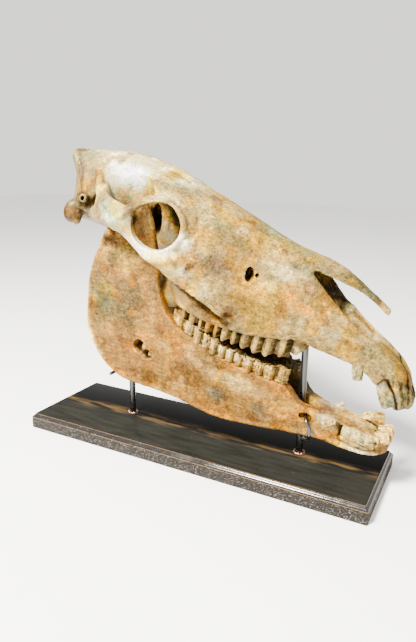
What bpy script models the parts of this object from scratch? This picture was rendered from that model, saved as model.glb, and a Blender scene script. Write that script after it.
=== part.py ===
"""Horse skull, life size, held nose-down with its jaw a little open on a black display plinth.

The bones are drawn in a skull frame in millimetres: x runs forward along the palate, y to the
animal's left and z up from the upper gum line, with x = 0 just behind the occipital condyles.
Each bone is a loft through the skull's named lengthwise lines, a swept bar or a plate cut from
a side outline. The cranium is modelled whole and then parted by thin cuts along its sutures.
The skull frame is tilted and set over the plinth by one empty.
"""

import math

import bmesh
import bpy
import numpy as np
from mathutils import Euler, Matrix, Vector

MM = 0.001
GAP = 0.3

# Plinth, in metres
PLINTH_LENGTH = 0.530
PLINTH_WIDTH = 0.160
PLINTH_EDGE = 0.017
PLINTH_HEIGHT = 0.0235
MOULDING_INSET = 0.005

# Pose of the skull frame over the plinth
SKULL_TILT = math.radians(13.26)
SKULL_PLACE = (-0.2553, 0.0053, 0.2787)

# Resolution of the bones while they are shaped, in mm, and faces kept at the end
VOXEL = 2.6
CRANIUM_FACES = 3500
MANDIBLE_FACES = 1000

# Lengthwise lines of the left half: (x, y, z) in mm
VAULT = [(14, 0, 150), (24, 0, 157), (60, 0, 166), (100, 0, 172.5), (130, 0, 174), (160, 0, 171),
         (200, 0, 163.5), (256, 0, 150)]
PARIETAL = [(14, 14, 149), (24, 18, 155), (60, 17, 164), (100, 22, 169), (130, 24, 170), (160, 26, 168),
            (200, 34, 160), (256, 34, 147)]
TEMPORAL_LINE = [(14, 24, 147), (24, 29, 148), (40, 33, 147), (75, 41, 149), (105, 43, 153),
                 (130, 42, 156), (158, 43, 158), (172, 50, 156), (186, 66, 151), (200, 76, 147),
                 (215, 77, 143), (236, 74, 138), (256, 66, 134)]
UNDER_BROW = [(14, 25, 141), (24, 33, 140), (40, 39, 136), (75, 48, 137), (105, 50, 140),
              (130, 48, 144), (158, 43, 148), (172, 44, 147), (186, 57, 142), (200, 67, 139),
              (215, 69, 136), (236, 70, 130), (256, 76, 122)]
BRAIN_SIDE = [(14, 20, 136), (24, 36, 130), (40, 43, 122), (60, 50, 119), (75, 53, 121), (105, 54, 124),
              (130, 51, 125), (155, 43, 125), (172, 38, 124), (190, 36, 122), (215, 36, 118),
              (236, 50, 110), (256, 83, 100)]
EAR_SIDE = [(14, 14, 134), (24, 28, 122), (40, 40, 104), (56, 49, 96), (75, 52, 96), (105, 47, 96),
            (130, 42, 96), (155, 33, 95), (175, 27, 93), (195, 28, 90), (215, 31, 88), (236, 46, 82),
            (256, 84, 76)]
BASE_EDGE = [(14, 8, 133), (24, 20, 110), (34, 30, 84), (60, 35, 72), (80, 33, 72), (105, 27, 73),
             (130, 24, 71), (155, 22, 68), (175, 21, 64), (195, 22, 58), (215, 26, 50), (236, 40, 42),
             (256, 60, 34)]
BASE = [(14, 0, 132), (24, 0, 112), (34, 0, 64), (60, 0, 58), (100, 0, 60), (130, 0, 58), (160, 0, 53),
        (200, 0, 42), (236, 0, 34), (256, 0, 28)]
BRAINCASE_LINES = (VAULT, PARIETAL, TEMPORAL_LINE, UNDER_BROW, BRAIN_SIDE, EAR_SIDE, BASE_EDGE, BASE)

NOSE_ROOF = [(236, 0, 154), (250, 0, 151), (300, 0, 138.5), (350, 0, 124), (375, 0, 119),
             (404, 0, 116.5)]
NOSE_SHOULDER = [(236, 46, 148), (260, 42, 143), (300, 30, 134), (340, 24, 122), (380, 19, 115),
                 (404, 16, 114)]
TEAR_LINE = [(236, 74, 139), (250, 70, 133), (270, 58, 128), (300, 46, 121), (340, 36, 110),
             (380, 30, 104), (404, 28, 102)]
UPPER_CHEEK = [(236, 84, 122), (250, 82, 108), (270, 74, 102), (300, 62, 97), (340, 48, 89),
               (380, 40, 83), (404, 33, 88)]
CHEEK = [(236, 90, 92), (250, 88, 82), (270, 80, 76), (300, 69, 70), (340, 54, 65), (380, 45, 59),
         (404, 40, 60)]
CREST = [(236, 95, 62), (250, 92, 58), (267, 88, 51), (284, 84, 46), (301, 79, 41), (318, 71, 35),
         (338, 60, 30), (380, 49, 32), (404, 43, 34)]
UNDER_CREST = [(236, 74, 48), (250, 70, 36), (267, 66, 31), (284, 64, 27), (301, 62, 24), (318, 60, 20),
               (338, 57, 16), (380, 48, 16), (404, 42, 19)]
GUM_LINE = [(236, 52, 16), (250, 54, 4), (270, 56, 1), (300, 56, -2), (340, 53, 0), (380, 46, 7),
            (404, 41, 11)]
PALATE_EDGE = [(236, 32, 12), (250, 32, 4), (300, 32, -1), (340, 31, 2), (380, 28, 8), (404, 25, 12)]
PALATE = [(236, 0, 22), (250, 0, 18), (300, 0, 15), (340, 0, 16), (380, 0, 18), (404, 0, 19)]
FACE_LINES = (NOSE_ROOF, NOSE_SHOULDER, TEAR_LINE, UPPER_CHEEK, CHEEK, CREST, UNDER_CREST, GUM_LINE,
              PALATE_EDGE, PALATE)

BAR_INNER = [(388, 0, 104), (404, 0, 97), (439, 0, 74), (466, 0, 57), (484, 0, 49), (505, 0, 44.5),
             (518, 0, 40), (535, 0, 31), (545, 0, 22), (552, 0, 13), (557, 0, 3)]
BAR_TOP = [(388, 24, 104), (404, 28, 98), (414, 28, 92), (439, 25, 73.5), (466, 22, 55.5),
           (484, 20, 46.5), (505, 16, 43), (518, 17, 39), (535, 16, 30), (545, 13, 21), (552, 9, 12),
           (557, 4, 2)]
BAR_SIDE = [(388, 34, 88), (404, 34, 84), (439, 29, 62), (466, 24.5, 46), (484, 23.5, 37),
            (505, 26, 33), (518, 29, 26), (535, 27, 16), (545, 21, 9), (552, 13, 4), (557, 5, 0)]
LIP_SIDE = [(388, 41, 50), (410, 39, 44), (439, 32, 34), (466, 25, 28), (484, 24, 22), (505, 28, 17),
            (518, 32, 9), (535, 30, 1), (545, 24, -3), (552, 15, -4), (557, 5, -4)]
LIP_EDGE = [(388, 40, 12), (410, 38, 14), (426, 34, 15), (439, 27, 11), (466, 22, 9), (484, 23, 8),
            (505, 27, 5), (518, 31, -3), (535, 29, -8), (545, 23, -9), (552, 14, -9), (557, 5, -8)]
MOUTH_EDGE = [(388, 27, 12), (410, 24, 14), (439, 17, 12), (466, 14, 9), (484, 14, 7), (505, 16, 3),
              (518, 18, -2), (535, 16, -6), (545, 12, -8), (552, 7, -9), (557, 3, -8)]
MOUTH_ROOF = [(388, 0, 19), (410, 0, 19), (439, 0, 17), (466, 0, 12), (484, 0, 9), (505, 0, 5),
              (518, 0, 1), (535, 0, -4), (545, 0, -7), (552, 0, -9), (557, 0, -9)]
MUZZLE_LINES = (BAR_INNER, BAR_TOP, BAR_SIDE, LIP_SIDE, LIP_EDGE, MOUTH_EDGE, MOUTH_ROOF)

NASAL_RIDGE = [(386, 0, 117), (404, 0, 117), (434, 0, 112), (455, 0, 104), (476, 0, 94.5),
               (490, 0, 87.5), (500, 0, 81)]
NASAL_TOP = [(386, 14, 115), (404, 13, 115), (434, 10, 110), (455, 8, 102), (476, 5.5, 93.2),
             (490, 4, 86.5), (500, 2, 80.5)]
NASAL_EDGE = [(386, 27, 103), (404, 26, 101.5), (434, 19, 99), (455, 13.5, 95), (476, 9.5, 87),
              (490, 7, 81.5), (500, 4, 77)]
NASAL_HOLLOW = [(386, 0, 109), (404, 0, 109), (434, 0, 104), (455, 0, 97), (476, 0, 88), (490, 0, 82),
                (500, 0, 76)]
NASAL_LINES = (NASAL_RIDGE, NASAL_TOP, NASAL_EDGE, NASAL_HOLLOW)

# Nasal passage, hollow from the nostril backwards
PASSAGE_ROOF = [(290, 0, 108), (320, 0, 116), (350, 0, 112), (396, 0, 109), (420, 0, 104),
                (440, 0, 100), (470, 0, 92), (512, 0, 75)]
PASSAGE_UPPER = [(290, 14, 104), (320, 25, 109), (350, 24, 104), (396, 22, 102), (420, 20, 100),
                 (440, 18, 97), (470, 17, 90), (512, 10, 72)]
PASSAGE_SIDE = [(290, 18, 70), (320, 34, 70), (350, 34, 66), (396, 29, 72), (420, 25, 66),
                (440, 21, 58), (470, 17.5, 48), (512, 10, 50)]
PASSAGE_LOWER = [(290, 15, 44), (320, 28, 36), (350, 29, 34), (396, 27, 34), (420, 23, 34),
                 (440, 19, 32), (470, 15, 28), (512, 7, 40)]
PASSAGE_FLOOR = [(290, 0, 36), (320, 0, 28), (350, 0, 27), (396, 0, 28), (420, 0, 28), (440, 0, 27),
                 (470, 0, 23), (512, 0, 40)]
PASSAGE_LINES = (PASSAGE_ROOF, PASSAGE_UPPER, PASSAGE_SIDE, PASSAGE_LOWER, PASSAGE_FLOOR)

# Swept bars of the left half: (x, y, z, half height, half thickness)
ARCH = [(100, 40, 107, 22, 8), (108, 60, 108, 24, 9), (117, 75, 107, 23, 9), (132, 88, 106, 20, 8),
        (149, 97, 105, 19, 7), (167, 102, 104, 19, 6.5), (188, 104, 93, 12, 6.5),
        (209, 103, 79, 9.5, 7), (224, 100, 72, 10.5, 7.5), (242, 92, 70, 15, 8), (262, 82, 62, 14, 8)]
BROW_BAR = [(214, 58, 146, 4.5, 16), (204, 78, 142, 5, 14), (194, 90, 136, 5.5, 11),
            (186, 98, 128, 6, 10), (178, 102, 117, 6, 11), (172, 103, 106, 5, 13)]
ORBIT_RIM = [(206, 78, 142, 4, 5), (224, 79, 140, 4, 4.5), (240, 80, 131, 4, 4.5),
             (249, 83, 112, 4.5, 5), (246, 89, 94, 5, 5), (236, 95, 82, 5, 5)]
NUCHAL_CREST = [(50, 44, 100, 5, 5), (49, 43, 112, 5, 5), (43, 40, 126, 5, 5), (33, 35, 140, 5, 5),
                (24, 29, 150, 4.5, 5), (15, 16, 153, 4.5, 5), (11, 0, 153.5, 4.5, 5)]

# Orbit: centre and half sizes of the hollow, and how far its mouth turns forward, in degrees
ORBIT_CENTRE = (217, 94, 108)
ORBIT_SIZES = (31, 56, 28)
ORBIT_TURN = 17

# Side outline of the left half of the lower jaw, from the notch behind the coronoid process
JAW_OUTLINE = [(150, 72), (163, 90), (168, 110), (171, 126), (179, 136), (188, 133), (198, 113),
               (208, 84), (218, 50), (219, 29), (225, 6), (233, -6), (246, -18), (262, -30), (280, -36),
               (300, -43), (320, -48), (343, -51), (370, -53), (400, -55), (418, -57), (428, -59),
               (439, -66), (455, -70), (480, -73), (510, -73), (536, -73), (551, -77), (558, -85),
               (556, -95), (545, -101), (530, -105), (500, -108.5), (470, -110.5), (440, -116),
               (420, -119.5), (400, -124), (380, -128), (362, -131.5), (344, -134.5), (326, -135),
               (308, -134), (288, -132), (273, -130.5), (258, -130), (243, -130), (229, -131),
               (209, -133.5), (194, -134), (178, -132), (166, -129), (153, -122.5), (141, -114),
               (131, -104.5), (122, -93), (116, -82), (113, -70), (111, -54), (111, -32), (111, -10),
               (113, 10), (117, 30), (122, 45), (129, 62), (136, 73)]
# Half breadths of the jaw: (x, outer at top, outer at foot, inner at top, inner at foot)
JAW_BREADTHS = [(108, 86, 58, 75, 46), (130, 85, 59, 74, 46), (160, 81, 59, 73, 46),
                (210, 75, 57, 65, 44), (250, 66, 53, 45, 40), (300, 58, 46, 33, 33),
                (350, 53, 40, 28, 27), (400, 48, 34, 21, 20), (430, 44, 28, 17, 14),
                (445, 40, 26, 13, 8), (456, 34, 25, 7, 3), (464, 31, 24, -3, -3), (482, 28, 22, -3, -3),
                (500, 29, 21, -3, -3), (520, 33, 21, -3, -3), (538, 31, 19, -3, -3),
                (550, 24, 14, -3, -3), (560, 14, 8, -3, -3)]

# Cheek teeth: (x, outer y, inner y, height of the biting edge)
UPPER_ROW = [(243, 50, 31, 2), (262, 56, 32, -9), (300, 58, 32, -13), (340, 55, 30, -15),
             (372, 50, 28, -17), (400, 44, 25, -11), (428, 37, 27, 6)]
LOWER_ROW = [(249, 51, 37, -9), (280, 52, 36, -18), (310, 49, 33, -26), (348, 45, 28, -30),
             (397, 37, 22, -34), (427, 33, 20, -36)]
LOBES = 12
FLUTE = 1.6
UPPER_ROOT = 14
LOWER_ROOT = -62

# Front teeth: degrees the face is turned outwards, then from root to tip (x, y, z, half depth, half width)
UPPER_FRONT = [
    (12, [(544, 8, 18, 6, 7.5), (553, 8.2, -2, 7.5, 8.4), (560, 8.5, -18, 7, 8.4), (561, 8.6, -29, 5, 8)]),
    (40, [(536, 20, 12, 6, 7.5), (546, 22.5, -8, 7.5, 8.6), (552, 23.5, -27, 5, 8.6)]),
    (64, [(524, 28, 10, 6, 6.5), (531, 30.5, -8, 7, 8.5), (536, 31, -24, 5, 8.5)]),
    (90, [(492, 22, 12, 5, 5.5), (495, 25, 0, 5.5, 6), (496, 26, -11, 4, 4.5)])]
LOWER_FRONT = [
    (None, [(522, 6, -86, 6, 7), (540, 8.8, -78, 7.5, 8.2), (558, 9.4, -72, 6.5, 8)]),
    (None, [(510, 17, -84, 6, 6), (526, 24, -75, 7.5, 7.5), (541, 27, -69, 6, 7.5)]),
    (90, [(478, 18, -84, 5, 5), (483, 24, -76, 5, 5), (486, 26, -66, 3.5, 3.5)])]
RIGHT_BROKEN = (1, 2)

# Sheets that part the cranium: corners (x, z) of each, and the span of y or the plane it lies in
FACE_START = 262
BRAIN_END = 165
BRAIN_TOP = 100
CHEEK_PLANE = 72
BROW_FOOT = 124
NASAL_CUT = ((FACE_START, 126), (422, 99))
MUZZLE_CUT = ((404, 103), (479, 3))

# Bones of the cranium: name and a point (x, y, z) near the middle of each
BONES = [("braincase", 150, 0, 85), ("frontal", 215, 40, 135), ("nasal", 370, 14, 120),
         ("maxilla", 340, 35, 50), ("premaxilla", 510, 18, 25), ("zygomatic_arch", 180, 95, 85)]

# Mount, in mm over the plinth's top
ROD_RADIUS = 4.75
FRONT_ROD = (150, 7.2, 184)
REAR_ROD = (-127, 3, 290)
CROSS_BAR_HEIGHT = 84
CROSS_BAR_REACH = 51
CROSS_BAR_RADIUS = 2.4
HOOK = [(151, 6, 28), (156, 0, 27), (161, -8, 30), (165, -15, 34), (170, -24, 40), (174, -31, 50),
        (173.5, -31, 58), (169.5, -30, 65), (166, -25, 69.5), (163.5, -19, 71)]
HOOK_RADIUS = 2.3
WELD_RADIUS = 8.5
WELD_HEIGHT = 3.2


def through(knots, at):
    """Smooth values through knots (x, a, b, ...), cubic between them and never past them."""
    knots = np.array(knots, float)
    x, v = knots[:, 0], knots[:, 1:]
    step = np.diff(x)[:, None]
    rise = np.diff(v, axis=0) / step
    slope = np.zeros_like(v)
    slope[0], slope[-1] = rise[0], rise[-1]
    turn = rise[:-1] * rise[1:] > 0
    with np.errstate(divide="ignore", invalid="ignore"):
        mean = 3 * (step[1:] + step[:-1]) / (
            (2 * step[1:] + step[:-1]) / rise[:-1] + (step[1:] + 2 * step[:-1]) / rise[1:])
    slope[1:-1] = np.where(turn, mean, 0)
    at = np.clip(np.atleast_1d(np.array(at, float)), x[0], x[-1])
    i = np.clip(np.searchsorted(x, at, side="right") - 1, 0, len(x) - 2)
    t = ((at - x[i])[:, None]) / step[i]
    return (v[i] * (1 + 2 * t) * (1 - t) ** 2 + v[i + 1] * t * t * (3 - 2 * t)
            + step[i] * (slope[i] * t * (1 - t) ** 2 + slope[i + 1] * t * t * (t - 1)))


def rounded(points, steps):
    """Closed smooth line through the points, with steps points to each span."""
    p = np.array(points, float)
    t = (np.arange(steps) / steps)[None, :, None]
    a, b, c, d = (np.roll(p, shift, axis=0)[:, None, :] for shift in (1, 0, -1, -2))
    bend, twist = 2 * a - 5 * b + 4 * c - d, 3 * b - a - 3 * c + d
    curve = 0.5 * (2 * b + (c - a) * t + bend * t ** 2 + twist * t ** 3)
    return curve.reshape(-1, p.shape[1])


def skin(rings):
    """Closed shell over an array of rings of equal length, with flat ends."""
    count, around = rings.shape[:2]
    row = np.arange(count - 1)[:, None] * around
    col = np.arange(around)[None, :]
    nxt = (col + 1) % around
    quads = np.stack([row + col, row + nxt, row + around + nxt, row + around + col], -1).reshape(-1, 4)
    faces = [list(face) for face in quads.tolist()]
    faces.append(list(range(around))[::-1])
    faces.append([(count - 1) * around + i for i in range(around)])
    return rings.reshape(-1, 3), faces


def loft(lines, start, end, spacing=6.0, steps=3):
    """Shell through lengthwise lines, which run from the top midline round the left side to the
    bottom midline and are mirrored to the right."""
    x = np.linspace(start, end, max(2, int(round((end - start) / spacing)) + 1))
    left = np.stack([through(line, x) for line in lines], 1)
    right = left[:, -2:0:-1] * np.array([-1, 1])
    half_rings = np.concatenate([left, right], 1)
    rings = []
    for station, section in zip(x, half_rings):
        outline = rounded(section, steps)
        rings.append(np.column_stack([np.full(len(outline), station), outline]))
    return skin(np.array(rings))


def bar(knots, around=10, per_span=3, up=(0, 0, 1)):
    """Oval bar along knots (x, y, z, half height, half thickness)."""
    knots = np.array(knots, float)
    run = np.concatenate([[0], np.cumsum(np.linalg.norm(np.diff(knots[:, :3], axis=0), axis=1))])
    s = np.linspace(0, run[-1], (len(knots) - 1) * per_span + 1)
    v = through(np.column_stack([run, knots]), s)
    way = np.gradient(v[:, :3], axis=0)
    way /= np.linalg.norm(way, axis=1, keepdims=True)
    side = np.cross(way, np.array(up, float))
    side /= np.linalg.norm(side, axis=1, keepdims=True)
    rise = np.cross(side, way)
    turn = np.linspace(0, 2 * math.pi, around, endpoint=False)
    rings = (v[:, None, :3] + side[:, None] * (v[:, 4, None, None] * np.cos(turn)[None, :, None])
             + rise[:, None] * (v[:, 3, None, None] * np.sin(turn)[None, :, None]))
    return skin(rings)


def lump(centre, sizes, turn=(0, 0, 0), detail=2):
    """Oval lump with half sizes along x, y and z, turned by angles in degrees."""
    sphere = bmesh.new()
    bmesh.ops.create_icosphere(sphere, subdivisions=detail, radius=1.0)
    matrix = (Matrix.Translation(centre) @ Euler([math.radians(a) for a in turn]).to_matrix().to_4x4()
              @ Matrix.Diagonal((*sizes, 1)))
    bmesh.ops.transform(sphere, matrix=matrix, verts=sphere.verts)
    verts = np.array([v.co[:] for v in sphere.verts])
    faces = [[v.index for v in f.verts] for f in sphere.faces]
    sphere.free()
    return verts, faces


def plate(outline, y_low, y_high):
    """Flat plate with a side outline of (x, z) points, between two values of y."""
    outline = np.array(outline, float)
    rings = np.stack([np.column_stack([outline[:, 0], np.full(len(outline), y), outline[:, 1]])
                      for y in (y_low, y_high)])
    return skin(rings)


def mirrored(shell):
    """The same shell on the other side of the midline."""
    verts, faces = shell
    return verts * np.array([1, -1, 1]), [face[::-1] for face in faces]


def both(*shells):
    """Each shell with its mirror image."""
    return [one for shell in shells for one in (shell, mirrored(shell))]


def make(name, shells):
    """One object holding the shells, in metres, with every face turned outwards."""
    verts, faces, base = [], [], 0
    for v, f in shells:
        verts.append(v * MM)
        faces += [[i + base for i in face] for face in f]
        base += len(v)
    mesh = bpy.data.meshes.new(name)
    mesh.from_pydata(np.concatenate(verts).tolist(), [], faces)
    shape = bmesh.new()
    shape.from_mesh(mesh)
    bmesh.ops.triangulate(shape, faces=[f for f in shape.faces if len(f.verts) > 4])
    bmesh.ops.recalc_face_normals(shape, faces=shape.faces)
    shape.to_mesh(mesh)
    shape.free()
    obj = bpy.data.objects.new(name, mesh)
    bpy.context.scene.collection.objects.link(obj)
    return obj


def settle(obj):
    """Applies the object's modifiers to its mesh."""
    graph = bpy.context.evaluated_depsgraph_get()
    mesh = bpy.data.meshes.new_from_object(obj.evaluated_get(graph))
    obj.modifiers.clear()
    old, obj.data = obj.data, mesh
    bpy.data.meshes.remove(old)


def raw(obj):
    """The object's mesh as a shell in mm."""
    verts = np.array([v.co[:] for v in obj.data.vertices]) / MM
    return verts, [list(face.vertices) for face in obj.data.polygons]


def discard(obj):
    mesh = obj.data
    bpy.data.objects.remove(obj)
    bpy.data.meshes.remove(mesh)


def melt(obj, voxel, rounds):
    """Merges overlapping shells into one skin and softens the joins."""
    merge = obj.modifiers.new("merge", "REMESH")
    merge.mode = "VOXEL"
    merge.voxel_size = voxel * MM
    soften = obj.modifiers.new("soften", "SMOOTH")
    soften.factor = 0.5
    soften.iterations = rounds
    settle(obj)


def combine(obj, shells, operation):
    """Adds or removes shells, one Boolean at a time."""
    for shell in shells:
        tool = make("tool", [shell])
        cut = obj.modifiers.new(operation.lower(), "BOOLEAN")
        cut.operation = operation
        cut.object = tool
        settle(obj)
        discard(tool)


def thin_out(obj, faces):
    """Reduces the mesh to about this many triangles."""
    fewer = obj.modifiers.new("thin", "DECIMATE")
    fewer.ratio = min(1.0, faces / (2.0 * len(obj.data.polygons)))
    fewer.use_collapse_triangulate = True
    settle(obj)


def tooth_row(row, root):
    """Row of cheek teeth: a fluted wall from the roots at height root to the biting edge."""
    x = np.linspace(row[0][0], row[-1][0], LOBES * 2 + 1)
    v = through(row, x)
    groove = np.where(np.arange(len(x)) % 2 == 0, FLUTE, 0.0)
    outer = np.column_stack([x, v[:, 0] - groove])
    inner = np.column_stack([x[::-4], v[::-4, 1]])
    plan = np.concatenate([outer, inner])
    tip = np.concatenate([v[:, 2], v[::-4, 2] + 2.0 * np.sign(root)])
    top = np.column_stack([plan, np.full(len(plan), float(root))])
    return skin(np.stack([top, np.column_stack([plan, tip])]))


def tooth(turn, line):
    """Oval front tooth along its line, its broad face turned outwards, or upwards where turn is None."""
    up = (0, 0, 1) if turn is None else (math.cos(math.radians(turn)), math.sin(math.radians(turn)), 0)
    return bar(line, around=8, per_span=2, up=up)


def cranium_shells():
    shells = [loft(BRAINCASE_LINES, 14, 256), loft(FACE_LINES, 236, 404), loft(MUZZLE_LINES, 388, 557, 5.0),
              loft(NASAL_LINES, 396, 499)]
    shells += both(
        bar(ARCH, around=12), bar(BROW_BAR), bar(ORBIT_RIM, up=(0, 1, 0)), bar(NUCHAL_CREST, up=(1, 0, 0)),
        lump((31, 25, 70), (14, 16, 20), (0, 15, 10)),
        lump((36, 14, 96), (9, 15, 8)),
        lump((50, 40, 68), (8, 6, 13)),
        lump((66, 46, 96), (17, 10, 15)),
        lump((106, 68, 92), (6, 15, 11)),
        lump((124, 80, 92), (15, 15, 7)),
        lump((236, 40, 26), (26, 15, 22)),
        lump((232, 22, 30), (30, 5, 16)),
    )
    shells.append(bar([(30, 0, 66, 8, 17), (70, 0, 64, 7, 14), (110, 0, 64, 8, 14), (160, 0, 60, 8, 10),
                       (230, 0, 54, 7, 3), (275, 0, 42, 8, 3)]))
    return shells


def build_cranium():
    skull = make("cranium", cranium_shells())
    melt(skull, VOXEL, 4)
    orbit = lump(ORBIT_CENTRE, ORBIT_SIZES, (0, 0, -ORBIT_TURN), 3)
    combine(skull, [loft(PASSAGE_LINES, 290, 512)] + both(orbit), "DIFFERENCE")
    combine(skull, [bar([(20, 0, 76, 15, 16), (60, 0, 82, 14, 14)])], "DIFFERENCE")
    melt(skull, VOXEL, 2)
    thin_out(skull, CRANIUM_FACES)
    teeth = [tooth_row(UPPER_ROW, UPPER_ROOT)] + [tooth(*line) for line in UPPER_FRONT]
    combine(skull, both(*teeth), "UNION")
    return skull


def jaw_wall():
    """Slab between the jaw's outer and inner breadths, which lean outwards towards the top."""
    x = np.linspace(106, 560, 70)
    outer_top, outer_foot, inner_top, inner_foot = through(JAW_BREADTHS, x).T
    rings = []
    for z in np.linspace(-140, 150, 12):
        share = (z + 125) / 200
        outer = outer_foot + (outer_top - outer_foot) * share
        inner = inner_foot + (inner_top - inner_foot) * share
        ring = np.concatenate([np.column_stack([x, outer]), np.column_stack([x, inner])[::-1]])
        rings.append(np.column_stack([ring, np.full(len(ring), z)]))
    return skin(np.array(rings))


def build_mandible():
    half = make("jaw_half", [plate(rounded(JAW_OUTLINE, 2), -10, 150)])
    combine(half, [jaw_wall()], "INTERSECT")
    left = raw(half)
    discard(half)
    jaw = make("mandible", both(left, lump((135, 76, 74), (8, 17, 6))))
    melt(jaw, VOXEL, 5)
    thin_out(jaw, MANDIBLE_FACES)
    combine(jaw, both(tooth_row(LOWER_ROW, LOWER_ROOT)), "UNION")
    left_teeth = [tooth(*line) for line in LOWER_FRONT]
    right_teeth = [mirrored(t) for i, t in enumerate(left_teeth) if i not in RIGHT_BROKEN]
    combine(jaw, left_teeth + right_teeth, "UNION")
    combine(jaw, both(lump((456, 29, -85), (6, 8, 5))) + [lump((213, -60, -70), (8, 5, 7))], "DIFFERENCE")
    return jaw


def sheet(corners, low, high, along_y):
    """Thin wall: through two (x, z) corners over a span of y, or in a plane of y over a box of x and z."""
    (x0, z0), (x1, z1) = corners
    if along_y:
        run = np.array([x1 - x0, z1 - z0], float)
        off = np.array([-run[1], run[0]]) / np.linalg.norm(run) * GAP / 2
        ring = [(x0 - off[0], z0 - off[1]), (x1 - off[0], z1 - off[1]), (x1 + off[0], z1 + off[1]),
                (x0 + off[0], z0 + off[1])]
        return plate(ring, low, high)
    return plate([(x0, z0), (x1, z0), (x1, z1), (x0, z1)], low - GAP / 2, low + GAP / 2)


def cranium_sheets():
    edge = CHEEK_PLANE
    sheets = [
        sheet(((FACE_START, -60), (FACE_START, 220)), -150, 150, True),
        sheet(((BRAIN_END, BRAIN_TOP), (BRAIN_END, 220)), -edge, edge, True),
        sheet(((BRAIN_END, BRAIN_TOP), (205, BRAIN_TOP)), -edge, edge, True),
        sheet(((205, BRAIN_TOP), (FACE_START, BRAIN_TOP)), -150, 150, True),
        sheet(NASAL_CUT, -150, 150, True),
        sheet(MUZZLE_CUT, -150, 150, True),
        sheet(((BRAIN_END, BRAIN_TOP), (600, 220)), 0, 0, False),
        sheet(((FACE_START, -60), (600, BRAIN_TOP)), 0, 0, False)]
    sheets += both(
        sheet(((90, -60), (156, 200)), edge, 0, False),
        sheet(((156, -60), (205, BROW_FOOT)), edge, 0, False),
        sheet(((205, -60), (FACE_START, BRAIN_TOP)), edge, 0, False),
        sheet(((156, BROW_FOOT), (206, BROW_FOOT)), edge, 150, True))
    return sheets


def islands(obj):
    """Separate shells of an object, largest first, each as (vertices in mm, faces)."""
    verts, faces = raw(obj)
    group = np.arange(len(verts))
    edges = np.array([(f[i], f[i - 1]) for f in faces for i in range(len(f))])
    while True:
        low = np.minimum(group[edges[:, 0]], group[edges[:, 1]])
        before = group.copy()
        np.minimum.at(group, edges[:, 0], low)
        np.minimum.at(group, edges[:, 1], low)
        group = group[group]
        if np.array_equal(before, group):
            break
    parts = []
    first = np.array([group[f[0]] for f in faces])
    for label in np.unique(first):
        used = np.flatnonzero(group == label)
        place = {old: new for new, old in enumerate(used)}
        parts.append((verts[used], [[place[i] for i in faces[k]] for k in np.flatnonzero(first == label)]))
    return sorted(parts, key=lambda part: -len(part[1]))


def named_bones(skull):
    """One object for each bone of the parted cranium."""
    seeds = []
    for name, x, y, z in BONES:
        sides = ((name, y),) if y == 0 else ((name + "_left", y), (name + "_right", -y))
        seeds += [(label, np.array([x, side, z])) for label, side in sides]
    bones = {}
    for verts, faces in islands(skull):
        middle = (verts.min(0) + verts.max(0)) / 2
        name = min(seeds, key=lambda seed: np.linalg.norm(seed[1] - middle))[0]
        if name not in bones:
            bones[name] = make(name, [(verts, faces)])
    discard(skull)
    return bones


def wire(points, radius, around=10, per_span=1):
    """Round rod through points, in mm."""
    knots = [(*point, radius, radius) for point in points]
    return bar(knots, around=around, per_span=per_span, up=(0.2, 0.1, 1))


def post(x, y, low, high, radius, around=20):
    """Upright round rod, in mm over the plinth's top."""
    turn = np.linspace(0, 2 * math.pi, around, endpoint=False)
    ring = np.column_stack([x + radius * np.cos(turn), y + radius * np.sin(turn)])
    return skin(np.stack([np.column_stack([ring, np.full(around, z)]) for z in (low, high)]))


def build_plinth():
    """Plinth with an upright lower edge and a moulded upper edge, from its underside at z = 0."""
    edge, top = PLINTH_EDGE / MM, PLINTH_HEIGHT / MM
    inset = MOULDING_INSET / MM
    profile = [(0, 0), (edge, 0), (edge + 0.6, 0.9), (edge + 2.6, 1.1), (edge + 4.6, 3.2),
               (edge + 5.2, inset), (top, inset)]
    rings = []
    for height, step in profile:
        half_x, half_y = PLINTH_LENGTH / MM / 2 - step, PLINTH_WIDTH / MM / 2 - step
        corners = ((-1, -1), (1, -1), (1, 1), (-1, 1))
        rings.append([(sx * half_x, sy * half_y, height) for sx, sy in corners])
    return make("plinth", [skin(np.array(rings, float))])


def build_mount():
    """Rods, cross bar, jaw hook and weld collars, in mm over the plinth's top."""
    clear = ROD_RADIUS + GAP
    front = make("rod_front", [post(*FRONT_ROD[:2], GAP, FRONT_ROD[2], ROD_RADIUS)])
    rear = make("rod_rear", [post(*REAR_ROD[:2], GAP, REAR_ROD[2], ROD_RADIUS)])
    x, y = REAR_ROD[:2]
    ends = [(x, side * CROSS_BAR_REACH, CROSS_BAR_HEIGHT) for side in (-1, 1)]
    combine(rear, [wire(ends, CROSS_BAR_RADIUS + GAP)], "DIFFERENCE")
    cross = make("cross_bar", [wire(ends, CROSS_BAR_RADIUS)])
    hook = make("jaw_hook", [wire(HOOK, HOOK_RADIUS, around=8, per_span=2)])
    combine(hook, [post(*FRONT_ROD[:2], 0, 120, clear)], "DIFFERENCE")
    parts = [front, rear, cross, hook]
    for name, (x, y, top) in (("weld_front", FRONT_ROD), ("weld_rear", REAR_ROD)):
        collar = make(name, [lump((x, y, GAP), (WELD_RADIUS, WELD_RADIUS, WELD_HEIGHT))])
        combine(collar, [post(x, y, -20, GAP, 30)], "DIFFERENCE")
        combine(collar, [post(x, y, -1, 30, clear)], "DIFFERENCE")
        parts.append(collar)
    for obj in parts:
        obj.location = (0, 0, PLINTH_HEIGHT)
    return parts


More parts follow.
